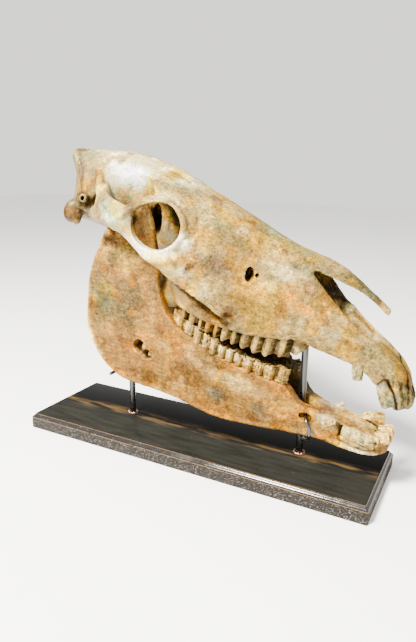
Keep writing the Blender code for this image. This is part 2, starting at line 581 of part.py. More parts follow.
def drill(bone, holes):
    """Clears room for rods and hook, given in the plinth's frame, in a bone kept in the skull frame."""
    place = Matrix.Translation(SKULL_PLACE) @ Matrix.Rotation(SKULL_TILT, 4, "Y")
    back = np.array(place.inverted())
    shells = []
    for verts, faces in holes:
        world = (verts + np.array([0, 0, PLINTH_HEIGHT / MM])) * MM
        shells.append(((world @ back[:3, :3].T + back[:3, 3]) / MM, faces))
    combine(bone, shells, "DIFFERENCE")


# Colours, roughness and metallic share of the materials
MATERIALS = {
    "bone_braincase": ((0.56, 0.47, 0.34), 0.45, 0.0),
    "bone_frontal": ((0.55, 0.47, 0.34), 0.5, 0.0),
    "bone_nasal": ((0.52, 0.43, 0.29), 0.55, 0.0),
    "bone_maxilla": ((0.56, 0.42, 0.27), 0.6, 0.0),
    "bone_premaxilla": ((0.52, 0.40, 0.25), 0.6, 0.0),
    "bone_arch": ((0.66, 0.59, 0.50), 0.5, 0.0),
    "bone_mandible": ((0.55, 0.38, 0.21), 0.6, 0.0),
    "black_lacquer": ((0.02, 0.018, 0.016), 0.2, 0.0),
    "steel_rod": ((0.30, 0.30, 0.30), 0.35, 1.0),
    "steel_wire": ((0.26, 0.25, 0.24), 0.4, 1.0),
    "weld_bead": ((0.70, 0.38, 0.25), 0.45, 1.0),
}


def material(name):
    if name in bpy.data.materials:
        return bpy.data.materials[name]
    colour, roughness, metallic = MATERIALS[name]
    made = bpy.data.materials.new(name)
    made.use_nodes = True
    surface = made.node_tree.nodes["Principled BSDF"]
    surface.inputs["Base Color"].default_value = (*colour, 1.0)
    surface.inputs["Roughness"].default_value = roughness
    surface.inputs["Metallic"].default_value = metallic
    made.diffuse_color = (*colour, 1.0)
    return made


def finish(obj, surface, parent):
    """Gives the object its material and its parent."""
    obj.data.materials.clear()
    obj.data.materials.append(material(surface))
    for face in obj.data.polygons:
        face.material_index = 0
    obj.parent = parent


for stale in list(bpy.data.objects):
    bpy.data.objects.remove(stale)
stand = bpy.data.objects.new("stand", None)
skull = bpy.data.objects.new("skull_frame", None)
for frame in (stand, skull):
    bpy.context.scene.collection.objects.link(frame)
skull.parent = stand
skull.location = SKULL_PLACE
skull.rotation_euler = (0, SKULL_TILT, 0)

cranium = build_cranium()
front_hole = post(*FRONT_ROD[:2], 0, FRONT_ROD[2] + GAP, ROD_RADIUS + GAP)
rear_hole = post(*REAR_ROD[:2], 0, REAR_ROD[2] + GAP, ROD_RADIUS + GAP)
drill(cranium, [front_hole, rear_hole])
combine(cranium, cranium_sheets(), "DIFFERENCE")
bones = named_bones(cranium)
jaw = build_mandible()
drill(jaw, [front_hole, rear_hole, wire(HOOK, HOOK_RADIUS + GAP + 0.2, around=8, per_span=2)])
combine(jaw, [sheet(((400, -200), (620, 100)), 0, 0, False)], "DIFFERENCE")
for verts, faces in islands(jaw):
    side = "left" if verts[:, 1].mean() > 0 else "right"
    bones["mandible_" + side] = make("mandible_" + side, [(verts, faces)])
discard(jaw)
for name, bone in bones.items():
    kind = name.replace("_left", "").replace("_right", "")
    finish(bone, "bone_" + kind.replace("zygomatic_", ""), skull)
finish(build_plinth(), "black_lacquer", stand)
for piece in build_mount():
    kind = piece.name.split("_")[0]
    finish(piece, {"rod": "steel_rod", "weld": "weld_bead"}.get(kind, "steel_wire"), stand)
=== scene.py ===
"""Dry horse skull on its display plinth, life size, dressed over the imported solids.

The sections follow the object as it is put together: the cranium, its teeth, the lower jaw, its
teeth, and then the plinth with its rods. Bones and teeth are drawn in the skull's own frame in
millimetres (x forward along the palate, y to the animal's left, z up from the upper gum line) and
on_stand() carries them to the tilted pose over the plinth, in metres.
"""

import math

import bmesh
import bpy
import numpy as np
from mathutils import Euler, Matrix, Vector


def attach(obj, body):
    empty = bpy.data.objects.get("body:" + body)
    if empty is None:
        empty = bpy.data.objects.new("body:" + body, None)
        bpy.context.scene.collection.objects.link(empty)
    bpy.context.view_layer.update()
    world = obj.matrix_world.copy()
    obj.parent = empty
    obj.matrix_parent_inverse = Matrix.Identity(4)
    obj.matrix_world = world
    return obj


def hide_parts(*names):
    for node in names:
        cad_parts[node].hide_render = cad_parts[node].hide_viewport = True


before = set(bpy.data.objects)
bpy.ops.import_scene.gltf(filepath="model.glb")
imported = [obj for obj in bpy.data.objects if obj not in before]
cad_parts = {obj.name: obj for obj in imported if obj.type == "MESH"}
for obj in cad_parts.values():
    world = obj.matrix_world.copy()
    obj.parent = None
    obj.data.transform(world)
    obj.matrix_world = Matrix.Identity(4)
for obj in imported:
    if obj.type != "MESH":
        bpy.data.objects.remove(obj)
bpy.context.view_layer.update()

# ---------------------------------------------------------------------------------------------
# Braincase. The rear of the cranium: a domed vault of thin bone that narrows behind the brow, with
# the flat nape behind it and the skull's base below. Its wall is carried through lengthwise lines
# of (x, y, z) that run from the nape to the brow.
BRAINCASE_SPAN = 14, 256
VAULT = [(14, 0, 150), (24, 0, 157), (60, 0, 166), (100, 0, 172.5), (130, 0, 174), (160, 0, 171),
         (196, 0, 161.5), (231, 0, 153.5), (256, 0, 147)]
PARIETAL = [(14, 14, 149), (24, 18, 155), (60, 17, 164), (100, 22, 169), (130, 24, 170), (160, 26, 168),
            (196, 34, 157), (231, 34, 148.5), (256, 34, 142)]
TEMPORAL_LINE = [(14, 24, 147), (24, 29, 148), (40, 33, 147), (75, 41, 149), (105, 43, 153),
                 (130, 42, 156), (158, 43, 158), (172, 50, 156), (186, 66, 151), (200, 76, 143.5),
                 (215, 77, 139), (236, 74, 133), (256, 66, 130)]
UNDER_BROW = [(14, 22, 141), (24, 27, 140), (40, 36, 136), (75, 48, 137), (105, 50, 140),
              (130, 48, 144), (158, 43, 148), (172, 44, 147), (186, 57, 141), (200, 67, 137),
              (215, 69, 133), (236, 70, 127), (256, 76, 120)]
BRAIN_SIDE = [(14, 17, 136), (24, 25, 130), (40, 35, 122), (60, 49, 119), (75, 53, 121), (105, 54, 124),
              (130, 51, 125), (155, 43, 125), (172, 38, 124), (190, 36, 122), (215, 36, 118),
              (236, 50, 110), (256, 83, 100)]
EAR_SIDE = [(14, 13, 134), (24, 21, 122), (40, 35, 104), (56, 49, 96), (75, 52, 96), (105, 47, 96),
            (130, 42, 96), (155, 33, 95), (175, 27, 93), (195, 28, 90), (215, 31, 88), (236, 46, 82),
            (256, 84, 76)]
BASE_EDGE = [(14, 8, 133), (24, 20, 110), (34, 30, 84), (60, 35, 72), (80, 33, 72), (105, 27, 73),
             (130, 24, 71), (155, 22, 68), (175, 21, 64), (195, 22, 58), (215, 26, 50), (236, 40, 42),
             (256, 60, 34)]
BASE = [(14, 0, 132), (24, 0, 112), (34, 0, 64), (60, 0, 58), (100, 0, 60), (130, 0, 58), (160, 0, 53),
        (200, 0, 42), (236, 0, 34), (256, 0, 28)]
BRAINCASE_LINES = (VAULT, PARIETAL, TEMPORAL_LINE, UNDER_BROW, BRAIN_SIDE, EAR_SIDE, BASE_EDGE, BASE)


def through(knots, at):
    """Values at x through knots (x, a, b, ...): a cubic in each span whose slopes are the harmonic
    mean of its neighbours', so that the line never swings past a knot."""
    knots = np.array(knots, float)
    x, v = knots[:, 0], knots[:, 1:]
    step = np.diff(x)[:, None]
    rise = np.diff(v, axis=0) / step
    slope = np.zeros_like(v)
    slope[0], slope[-1] = rise[0], rise[-1]
    turn = rise[:-1] * rise[1:] > 0
    with np.errstate(divide="ignore", invalid="ignore"):
        mean = 3 * (step[1:] + step[:-1]) / (
            (2 * step[1:] + step[:-1]) / rise[:-1] + (step[1:] + 2 * step[:-1]) / rise[1:])
    slope[1:-1] = np.where(turn, mean, 0)
    at = np.clip(np.atleast_1d(np.array(at, float)), x[0], x[-1])
    i = np.clip(np.searchsorted(x, at, side="right") - 1, 0, len(x) - 2)
    t = ((at - x[i])[:, None]) / step[i]
    return (v[i] * (1 + 2 * t) * (1 - t) ** 2 + v[i + 1] * t * t * (3 - 2 * t)
            + step[i] * (slope[i] * t * (1 - t) ** 2 + slope[i + 1] * t * t * (t - 1)))


def rounded(points, steps):
    """Closed line through points, steps to a span: each span is the cubic that leaves a point along
    the line joining its neighbours. Works on one outline (n, d) or on a stack of them (k, n, d)."""
    p = np.array(points, float)
    t = (np.arange(steps) / steps)[:, None]
    a, b, c, d = (np.roll(p, shift, axis=-2)[..., None, :] for shift in (1, 0, -1, -2))
    bend, twist = 2 * a - 5 * b + 4 * c - d, 3 * b - a - 3 * c + d
    curve = 0.5 * (2 * b + (c - a) * t + bend * t ** 2 + twist * t ** 3)
    return curve.reshape(*p.shape[:-2], -1, p.shape[-1])


def skin(rings):
    """Closed shell over a grid of rings (rings, around, 3): quads between rings and a face over each
    end, as (points, faces)."""
    count, around = rings.shape[:2]
    row = np.arange(count - 1)[:, None] * around
    col = np.arange(around)[None, :]
    nxt = (col + 1) % around
    quads = np.stack([row + col, row + nxt, row + around + nxt, row + around + col], -1).reshape(-1, 4)
    faces = quads.tolist()
    faces.append(list(range(around))[::-1])
    faces.append([(count - 1) * around + i for i in range(around)])
    return rings.reshape(-1, 3), faces


def loft(lines, start, end, spacing=3.0, steps=5):
    """Shell through lengthwise lines: at each x the lines give a half section, which is mirrored in
    y = 0 and rounded into a ring."""
    x = np.linspace(start, end, max(2, int(round((end - start) / spacing)) + 1))
    left = np.stack([through(line, x) for line in lines], 1)
    section = np.concatenate([left, left[:, -2:0:-1] * np.array([-1, 1])], 1)
    ring = rounded(section, steps)
    station = np.broadcast_to(x[:, None, None], (*ring.shape[:2], 1))
    return skin(np.concatenate([station, ring], -1))


skull_shells = [loft(BRAINCASE_LINES, *BRAINCASE_SPAN)]

# ---------------------------------------------------------------------------------------------
# Face. The long middle of the cranium: the nose roof, the cheeks down to the overhanging facial
# crest, and the upper gum line with the palate between. It is fused to the braincase at the brow.
FACE_SPAN = 236, 404
NOSE_ROOF = [(236, 0, 153), (250, 0, 149.5), (264, 0, 145), (300, 0, 136.5), (350, 0, 124), (375, 0, 119),
             (404, 0, 116.5)]
NOSE_SHOULDER = [(236, 46, 142.5), (260, 42, 138.5), (300, 30, 131.5), (340, 24, 122), (380, 19, 115),
                 (404, 16, 114)]
TEAR_LINE = [(236, 74, 133.5), (250, 70, 128.5), (270, 58, 128), (300, 46, 121), (340, 36, 110),
             (380, 30, 104), (404, 28, 102)]
UPPER_CHEEK = [(236, 84, 122), (250, 82, 108), (270, 74, 102), (300, 62, 97), (340, 48, 89),
               (380, 40, 83), (404, 33, 88)]
CHEEK = [(236, 90, 92), (250, 88, 82), (270, 80, 76), (300, 69, 70), (340, 54, 65), (380, 45, 59),
         (404, 40, 60)]
CREST = [(236, 95, 58), (250, 91, 50), (267, 87, 43), (284, 83, 37), (301, 78, 30), (318, 69, 20),
         (330, 61, 15), (345, 56, 13), (380, 49, 18), (404, 43, 26)]
UNDER_CREST = [(236, 74, 50), (250, 69, 42), (267, 65, 36), (284, 63, 31), (301, 61, 24), (318, 59, 15),
               (330, 57, 11), (345, 55, 9), (380, 48, 11), (404, 42, 16)]
GUM_LINE = [(236, 52, 16), (250, 54, 4), (270, 56, 1), (300, 56, -2), (340, 53, 0), (380, 46, 6),
            (404, 41, 11)]
PALATE_EDGE = [(236, 32, 12), (250, 32, 4), (300, 32, -1), (340, 31, 2), (380, 28, 8), (404, 25, 12)]
PALATE = [(236, 0, 22), (250, 0, 18), (300, 0, 15), (340, 0, 16), (380, 0, 18), (404, 0, 19)]
FACE_LINES = (NOSE_ROOF, NOSE_SHOULDER, TEAR_LINE, UPPER_CHEEK, CHEEK, CREST, UNDER_CREST, GUM_LINE,
              PALATE_EDGE, PALATE)
skull_shells.append(loft(FACE_LINES, *FACE_SPAN))

# ---------------------------------------------------------------------------------------------
# Muzzle. The toothless bars and the two front jaw bones, which bend down together and close round
# the roots of the incisors. The nose lies open above them.
MUZZLE_SPAN = 388, 557
BAR_INNER = [(388, 0, 104), (404, 0, 97), (439, 0, 70), (466, 0, 50), (484, 0, 42), (505, 0, 37.5),
             (518, 0, 33), (535, 0, 24), (545, 0, 16.5), (552, 0, 9.5), (557, 0, 2)]
BAR_TOP = [(388, 24, 104), (404, 28, 98), (414, 28, 92), (439, 25, 73.5), (466, 21, 56),
           (484, 18, 46.5), (505, 15, 40), (518, 15, 35), (535, 14, 26), (545, 11, 18), (552, 8, 10.5),
           (557, 4, 1.5)]
BAR_SIDE = [(388, 34, 88), (404, 34, 84), (439, 29, 62), (466, 24.5, 46), (484, 23.5, 37),
            (505, 26, 33), (518, 29, 26), (535, 27, 16), (545, 21, 9), (552, 13, 4), (557, 5, 0)]
LIP_SIDE = [(388, 41, 50), (410, 39, 44), (439, 32, 34), (466, 25, 28), (484, 24, 22), (505, 28, 17),
            (518, 32, 9), (535, 30, 1), (545, 24, -3), (552, 15, -4), (557, 5, -4)]
LIP_EDGE = [(388, 40, 12), (410, 38, 14), (426, 34, 13), (439, 27, 8.5), (466, 22, 6), (484, 23, 6),
            (505, 27, 2.5), (518, 31, -4), (535, 29, -8), (545, 23, -9), (552, 14, -9), (557, 5, -8)]
MOUTH_EDGE = [(388, 27, 12), (410, 24, 14), (439, 17, 10), (466, 14, 6.5), (484, 14, 5), (505, 16, 1),
              (518, 18, -2), (535, 16, -6), (545, 12, -8), (552, 7, -9), (557, 3, -8)]
MOUTH_ROOF = [(388, 0, 19), (410, 0, 19), (439, 0, 17), (466, 0, 12), (484, 0, 9), (505, 0, 5),
              (518, 0, 1), (535, 0, -4), (545, 0, -7), (552, 0, -9), (557, 0, -9)]
MUZZLE_LINES = (BAR_INNER, BAR_TOP, BAR_SIDE, LIP_SIDE, LIP_EDGE, MOUTH_EDGE, MOUTH_ROOF)
skull_shells.append(loft(MUZZLE_LINES, *MUZZLE_SPAN))

# ---------------------------------------------------------------------------------------------
# Nasal bones. A pair of thin blades, roofed above and hollow below, fused to the face at the back
# and running free over the open nose to a point.
NASAL_SPAN = 388, 504
NASAL_RIDGE = [(386, 0, 117), (404, 0, 117), (434, 0, 112), (455, 0, 104), (476, 0, 94.5),
               (490, 0, 88), (504, 0, 80.5)]
NASAL_TOP = [(386, 14, 115), (404, 13, 115), (434, 10.5, 110), (455, 9, 102), (476, 7, 93),
             (490, 5.5, 86.5), (504, 4.5, 79.5)]
NASAL_EDGE = [(386, 27, 103), (404, 26, 101.5), (434, 20, 98), (455, 15, 92), (476, 11, 83),
              (490, 9, 75.5), (503, 7.5, 70)]
NASAL_HOLLOW = [(386, 0, 109), (404, 0, 109), (434, 0, 103), (455, 0, 95), (476, 0, 84.5), (490, 0, 75.5),
                (503, 0, 68)]
NASAL_LINES = (NASAL_RIDGE, NASAL_TOP, NASAL_EDGE, NASAL_HOLLOW)
skull_shells.append(loft(NASAL_LINES, *NASAL_SPAN))

# ---------------------------------------------------------------------------------------------
# Arches, crests and joints. Dense bone grown on both sides of the skull: the cheek arch, the brow
# bar and the rim of the eye, the crest of the nape, the ear tube, the roof of the jaw joint and the
# knuckles that met the neck. Bars are lines of (x, y, z, half height, half thickness).
ARCH = [(100, 40, 107, 22, 8), (108, 60, 108, 24, 9), (117, 75, 107, 23, 9), (132, 88, 106, 20, 8),
        (149, 97, 105, 19, 7), (167, 102, 104, 19, 6.5), (188, 104, 93, 12, 6.5), (209, 103, 79, 9.5, 7),
        (224, 100, 72, 10.5, 7.5), (242, 92, 70, 15, 8), (262, 82, 62, 14, 8)]
BROW_BAR = [(214, 58, 140, 4.5, 16), (204, 78, 137.5, 5, 14), (194, 90, 133, 5.5, 11),
            (186, 98, 126, 6, 10), (178, 102, 117, 6, 11), (172, 103, 106, 5, 13)]
ORBIT_RIM = [(206, 78, 138.5, 4, 5), (224, 79, 135, 4, 4.5), (240, 80, 127, 4, 4.5), (249, 83, 112, 4.5, 5),
             (246, 89, 94, 5, 5), (236, 95, 82, 5, 5)]
NUCHAL_CREST = [(55, 45, 100, 5, 5), (55, 44, 112, 5, 5), (50, 41, 126, 5, 5), (41, 36, 139, 5, 5),
                (28, 30, 149, 4.5, 5), (15, 16, 153, 4.5, 5), (11, 0, 153.5, 4.5, 5)]
SKULL_BASE = [(30, 0, 66, 8, 17), (70, 0, 64, 7, 14), (110, 0, 64, 8, 14), (160, 0, 60, 8, 10),
              (230, 0, 54, 7, 3), (275, 0, 42, 8, 3)]
EAR_RIDGE = [(120, 84, 117, 5, 5), (106, 72, 127, 5, 5), (95, 58, 133, 5, 5), (84, 47, 141, 4, 4)]
EAR_TUBE = [(72, 44, 99, 7.5, 7.5), (75, 60, 102.5, 6.5, 6.5), (76, 67, 103.5, 6, 5.5)]
LEFT_RIDGE = [(444, 19, 66.5, 4, 4), (454, 18.5, 61.5, 6, 5), (470, 17.5, 51.5, 6, 5.6),
              (490, 14.5, 42.5, 5.5, 6), (512, 11, 34.5, 5, 5), (530, 8, 26, 4, 4)]
# Oval lumps: centre, half sizes, turn in degrees
CONDYLE = ((31, 25, 70), (14, 16, 20), (0, 15, 10))
CONDYLE_ROOT = ((36, 14, 96), (9, 15, 8), (0, 0, 0))
JUGULAR_STUB = ((50, 40, 68), (8, 6, 13), (0, 0, 0))
EAR_MASS = ((66, 46, 96), (17, 10, 15), (0, 0, 0))
BEHIND_JOINT = ((106, 68, 92), (6, 15, 11), (0, 0, 0))
JOINT_ROOF = ((124, 80, 92), (15, 15, 7), (0, 0, 0))
CHEEK_TUBER = ((229, 40, 24), (24, 17.5, 32), (0, 0, 0))
PTERYGOID = ((232, 22, 30), (30, 5, 16), (0, 0, 0))


def follow(knots, per_span):
    """(values, way): the knots carried through by the length run, per_span places to a span, and the
    unit vector along the line at each place."""
    knots = np.array(knots, float)
    run = np.concatenate([[0], np.cumsum(np.linalg.norm(np.diff(knots[:, :3], axis=0), axis=1))])
    v = through(np.column_stack([run, knots]), np.linspace(0, run[-1], (len(knots) - 1) * per_span + 1))
    way = np.gradient(v[:, :3], axis=0)
    return v, way / np.linalg.norm(way, axis=1, keepdims=True)


def square_to(way, up):
    """(side, rise): unit vectors square to the way and to each other, with rise nearest to up."""
    side = np.cross(way, np.array(up, float))
    side /= np.linalg.norm(side, axis=1, keepdims=True)
    return side, np.cross(side, way)


def bar(knots, around=20, per_span=6, up=(0, 0, 1)):
    """Oval bar along knots (x, y, z, half height, half thickness): at each place the ring is
    side * thickness * cos(turn) + rise * height * sin(turn)."""
    v, way = follow(knots, per_span)
    side, rise = square_to(way, up)
    turn = np.linspace(0, 2 * math.pi, around, endpoint=False)[None, :, None]
    return skin(v[:, None, :3] + side[:, None] * v[:, 4, None, None] * np.cos(turn)
                + rise[:, None] * v[:, 3, None, None] * np.sin(turn))


def lump(centre, sizes, turn=(0, 0, 0), around=28):
    """Oval lump: a sphere of rings, at height cos(v) with radius sin(v), scaled, turned and placed."""
    u = np.linspace(0, 2 * math.pi, around, endpoint=False)[None, :]
    v = np.linspace(0.08, math.pi - 0.08, around // 2)[:, None]
    ball = np.stack([np.sin(v) * np.cos(u), np.sin(v) * np.sin(u), np.cos(v) + 0 * u], -1)
    spin = np.array(Euler([math.radians(a) for a in turn]).to_matrix())
    return skin((ball * np.array(sizes)) @ spin.T + np.array(centre))


def mirrored(shell):
    """The same shell on the other side of the midline."""
    points, faces = shell
    return points * np.array([1, -1, 1]), [face[::-1] for face in faces]


def both(*shells):
    """Each shell with its mirror image."""
    return [one for shell in shells for one in (shell, mirrored(shell))]


skull_shells += both(bar(ARCH), bar(BROW_BAR), bar(ORBIT_RIM, up=(0, 1, 0)),
                     bar(NUCHAL_CREST, up=(1, 0, 0)), lump(*CONDYLE), lump(*CONDYLE_ROOT),
                     lump(*JUGULAR_STUB), lump(*EAR_MASS), lump(*BEHIND_JOINT), lump(*JOINT_ROOF),
                     lump(*CHEEK_TUBER), lump(*PTERYGOID), bar(EAR_RIDGE), bar(EAR_TUBE))
skull_shells += [bar(SKULL_BASE), bar(LEFT_RIDGE)]

# ---------------------------------------------------------------------------------------------
# Hollows. The shells melt into one dry bone. The nasal passage, the great foramen, the eye sockets,
# the ear canals and the small openings of the cheek are then cut, and the wall is melted again at
# the fine grain that carries the detail. Both grains are in mm.
COARSE = 1.9
FINE = 1.3
PASSAGE_SPAN = 290, 512
PASSAGE_ROOF = [(290, 0, 108), (320, 0, 116), (350, 0, 112), (396, 0, 109), (420, 0, 104),
                (440, 0, 98), (470, 0, 89), (512, 0, 70)]
PASSAGE_UPPER = [(290, 14, 104), (320, 25, 109), (350, 24, 104), (396, 22, 102), (420, 20, 100),
                 (440, 18, 94.5), (470, 17, 86), (512, 10, 66)]
PASSAGE_SIDE = [(290, 18, 70), (320, 34, 70), (350, 34, 66), (396, 29, 72), (420, 25, 66),
                (440, 21, 58), (470, 17.5, 48), (512, 10, 50)]
PASSAGE_LOWER = [(290, 15, 44), (320, 28, 36), (350, 29, 34), (396, 27, 34), (420, 23, 34),
                 (440, 19, 32), (470, 15, 28), (512, 7, 40)]
PASSAGE_FLOOR = [(290, 0, 36), (320, 0, 28), (350, 0, 27), (396, 0, 28), (420, 0, 28), (440, 0, 27),
                 (470, 0, 23), (512, 0, 40)]
PASSAGE_LINES = (PASSAGE_ROOF, PASSAGE_UPPER, PASSAGE_SIDE, PASSAGE_LOWER, PASSAGE_FLOOR)
ORBIT = ((217, 94, 108), (31, 56, 28), (0, 0, -17))
BRAIN_HOLE = [(18, 0, 76, 15, 16), (62, 0, 82, 14, 14)]
EAR_CANAL = [(77, 72, 104, 3.6, 3.2), (73, 46, 99, 3.4, 3.2)]
EAR_RECESS = ((89, 62, 100), (6.5, 15, 17), (0, 0, 0))
CHEEK_HOLE = [(346, 66, 78, 10, 5.6), (336, 51, 77, 10, 5.6), (326, 40, 76.5, 9, 5.4), (316, 33, 76, 7, 5)]
CHEEK_PIT = [(354, 60, 79, 3.4, 2.6), (345, 48, 78.5, 3.4, 2.6), (340, 42, 78, 2.6, 2.2)]
DEEP_FOSSA = ((178, 30, 98), (7, 18, 26), (0, 0, 0))


def add_object(name, data):
    """A new object in the scene that holds the mesh, light or camera."""
    obj = bpy.data.objects.new(name, data)
    bpy.context.scene.collection.objects.link(obj)
    return obj


def make(name, shells):
    """One object holding the shells, in skull millimetres, with its faces turned outwards."""
    points = np.concatenate([p for p, f in shells])
    base = np.cumsum([0] + [len(p) for p, f in shells])
    faces = [[i + b for i in face] for (p, f), b in zip(shells, base) for face in f]
    mesh = bpy.data.meshes.new(name)
    mesh.from_pydata(points.tolist(), [], faces)
    shape = bmesh.new()
    shape.from_mesh(mesh)
    bmesh.ops.triangulate(shape, faces=[f for f in shape.faces if len(f.verts) > 4])
    bmesh.ops.recalc_face_normals(shape, faces=shape.faces)
    shape.to_mesh(mesh)
    shape.free()
    return add_object(name, mesh)


def settle(obj):
    """Applies the object's modifiers to its mesh."""
    mesh = bpy.data.meshes.new_from_object(obj.evaluated_get(bpy.context.evaluated_depsgraph_get()))
    obj.modifiers.clear()
    old, obj.data = obj.data, mesh
    bpy.data.meshes.remove(old)


def discard(obj):
    """Deletes the object and its mesh."""
    mesh = obj.data
    bpy.data.objects.remove(obj)
    bpy.data.meshes.remove(mesh)


def melt(obj, voxel, rounds):
    """Merges overlapping shells into one skin of even quads and softens the joins."""
    merge = obj.modifiers.new("merge", "REMESH")
    merge.mode = "VOXEL"
    merge.voxel_size = voxel
    soften = obj.modifiers.new("soften", "SMOOTH")
    soften.factor = 0.5
    soften.iterations = rounds
    settle(obj)


def combine(obj, tool, operation, keep_tool=False):
    """Adds, removes or intersects another closed object."""
    cut = obj.modifiers.new("cut", "BOOLEAN")
    cut.operation = operation
    cut.solver = "MANIFOLD"
    cut.object = tool
    settle(obj)
    if not keep_tool:
        discard(tool)


cranium = make("cranium", skull_shells)
melt(cranium, COARSE, 3)
for hollow in [loft(PASSAGE_LINES, *PASSAGE_SPAN), bar(BRAIN_HOLE),
               *both(lump(*ORBIT, around=64), lump(*EAR_RECESS), bar(EAR_CANAL),
                     bar(CHEEK_HOLE, per_span=8), bar(CHEEK_PIT), lump(*DEEP_FOSSA))]:
    combine(cranium, make("hollow", [hollow]), "DIFFERENCE")
melt(cranium, FINE, 2)

# ---------------------------------------------------------------------------------------------
# Worn surface. Sutures wind between the bones, old muscle has streaked the temples, the facial
# crest overhangs the cheek, and the thin rims and the nape are pitted, cracked and chipped by age.
SKULL_GRAINS = [(0.45, 24, 11), (0.25, 9, 12), (0.12, 3.4, 13)]
SUTURE_DEPTH, SUTURE_WIDTH = 0.55, 1.1
# Sutures lie on flat walls: FACE_START and BRAIN_END cross the skull, the others are side-view lines
FACE_START, BRAIN_END, BRAIN_TOP = 262, 165, 100
ARCH_SIDE, ROOF_END, PALATE_TOP = 90, 424, 20
ROOF_FOOT, ROOF_TIP, MUZZLE_TOP, MUZZLE_FOOT = (232, 131.1), (422, 99), (404, 103), (479, 3)
# Pits: centre, reach, depth
PITS = [((202, -89, 143), 2.2, 2.4), ((204, -93, 139), 1.8, 2.0), ((212, -23, 159), 1.3, 1.4),
        ((260, -16, 148), 1.3, 1.2), ((284, -5, 142), 1.3, 1.2), ((186, -62, 142), 2.2, 2.5),
        ((196, -70, 136), 2.0, 2.2), ((197, -68, 141), 1.8, 2.0), ((329, -44, 104), 1.4, 1.3),
        ((345, -39, 102), 1.4, 1.3), ((204, 88, 142), 2.2, 2.4), ((255, 22, 149), 1.3, 1.2),
        ((185, -38, 97), 4.0, 5.0), ((191, -38, 78), 4.5, 5.0), ((185, 38, 97), 4.0, 5.0),
        ((191, 38, 78), 4.5, 5.0), ((236, -66, 96), 3.0, 3.0), ((236, 66, 96), 3.0, 3.0)]
SNOUT_CRACK = [(530, 11, 29), (538, 0, 22), (548, -9, 15), (552, -13, 4)]
CRACK_DEPTH, CRACK_WIDTH = 0.9, 0.9
CRACKS = [[(120, -22, 172), (124, -34, 165), (131, -41, 158), (129, -46, 148)],
          [(300, -69, 84), (318, -63, 80), (331, -58, 85)],
          [(530, -34, 8), (534, -33, 3), (541, -29, 6)],
          SNOUT_CRACK,
          [(64, -30, 160), (78, -36, 155), (86, -41, 146)],
          [(418, -35, 63), (428, -32, 50), (440, -29, 44)],
          [(518, -35, -6), (522, -34, 3), (528, -33, 1), (531, -32, 8), (536, -30, 9), (541, -27, 6)],
          [(541, -27, 6), (545, -25, -2)], [(548, -17, 5), (551, -15, 1), (554, -10, 4)]]
CREST_EDGE = [(236, 93, 55), (250, 89, 48), (279, 83, 37), (307, 76, 27), (317, 70, 18.5), (328, 62, 13.5)]
UNDER_EDGE = [(240, 80, 43), (262, 76, 34), (279, 73, 29), (300, 69, 21), (314, 63, 13.5)]
CREST_END = ((325, 63, 17), (7, 9, 6))
NAPE_EDGE = [(24, -29, 150), (11, 0, 153.5), (24, 29, 150)]
# Roots of the cheek teeth: place along the jaw, reach
UPPER_ROOTS = [(266, 11), (294, 10), (321, 10), (348, 10), (377, 11), (408, 13)]


def surface(obj):
    """(points, normals) of the object's mesh as arrays."""
    count = len(obj.data.vertices)
    points, normals = np.empty(count * 3), np.empty(count * 3)
    obj.data.vertices.foreach_get("co", points)
    obj.data.vertex_normals.foreach_get("vector", normals)
    return points.reshape(-1, 3), normals.reshape(-1, 3)


def reshape(obj, points):
    """Moves the corners of the object's mesh to new points."""
    obj.data.vertices.foreach_set("co", points.ravel())
    obj.data.update()


def ripple(points, size, seed=0):
    """Smooth random field from -1 to 1: a hashed value at each corner of a lattice of the given
    size in mm, blended by the smooth step 3f^2 - 2f^3 along each axis."""
    q = points / size + 100.37 * seed
    base = np.floor(q).astype(np.int64)
    f = q - base
    f = f * f * (3 - 2 * f)
    total = np.zeros(len(points))
    for corner in ((i, j, k) for i in (0, 1) for j in (0, 1) for k in (0, 1)):
        n = (base + corner) @ np.array([73856093, 19349663, 83492791]) + seed * 7919
        n = (n ^ (n >> 13)) * 1274126177 & 0x7FFFFFFF
        n = (n ^ (n >> 15)) * 668265263 & 0x7FFFFFFF
        total += (n / 0x3FFFFFFF - 1) * np.prod(np.where(corner, f, 1 - f), axis=1)
    return total


def uneven(points, grains):
    """Sum of ripples, one for each grain (height, size, seed)."""
    return sum(height * ripple(points, size, seed) for height, size, seed in grains)


def bump(value, width):
    """Bell curve exp(-(value / width)^2)."""
    return np.exp(-(value / width) ** 2)


def blob(points, centre, reach):
    """Bell round a centre, 1 there and 1/e at the reach (one number, or one for each axis)."""
    return np.exp(-(((points - np.array(centre)) / np.array(reach)) ** 2).sum(1))


def near_line(points, line):
    """Distance in mm from each point to a line of joined straight pieces."""
    line = np.array(line, float)
    best = np.full(len(points), 1e9)
    for a, b in zip(line[:-1], line[1:]):
        t = np.clip((points - a) @ (b - a) / ((b - a) @ (b - a)), 0, 1)
        best = np.minimum(best, np.linalg.norm(points - a - t[:, None] * (b - a), axis=1))
    return best


def wander(points):
    """Moves points by three smooth fields, a slow one and a fine one, as a suture winds."""
    slow = np.stack([ripple(points, 17, s) for s in (1, 2, 3)], -1)
    fine = np.stack([ripple(points, 4.5, s) for s in (4, 5, 6)], -1)
    return points + 1.7 * slow + 0.9 * fine


def flat_distance(x, z, start, end):
    """Signed distance from the line start-end in the side view, positive above or behind it."""
    run = np.array(end, float) - np.array(start, float)
    run /= np.linalg.norm(run)
    return (z - start[1]) * run[0] - (x - start[0]) * run[1]


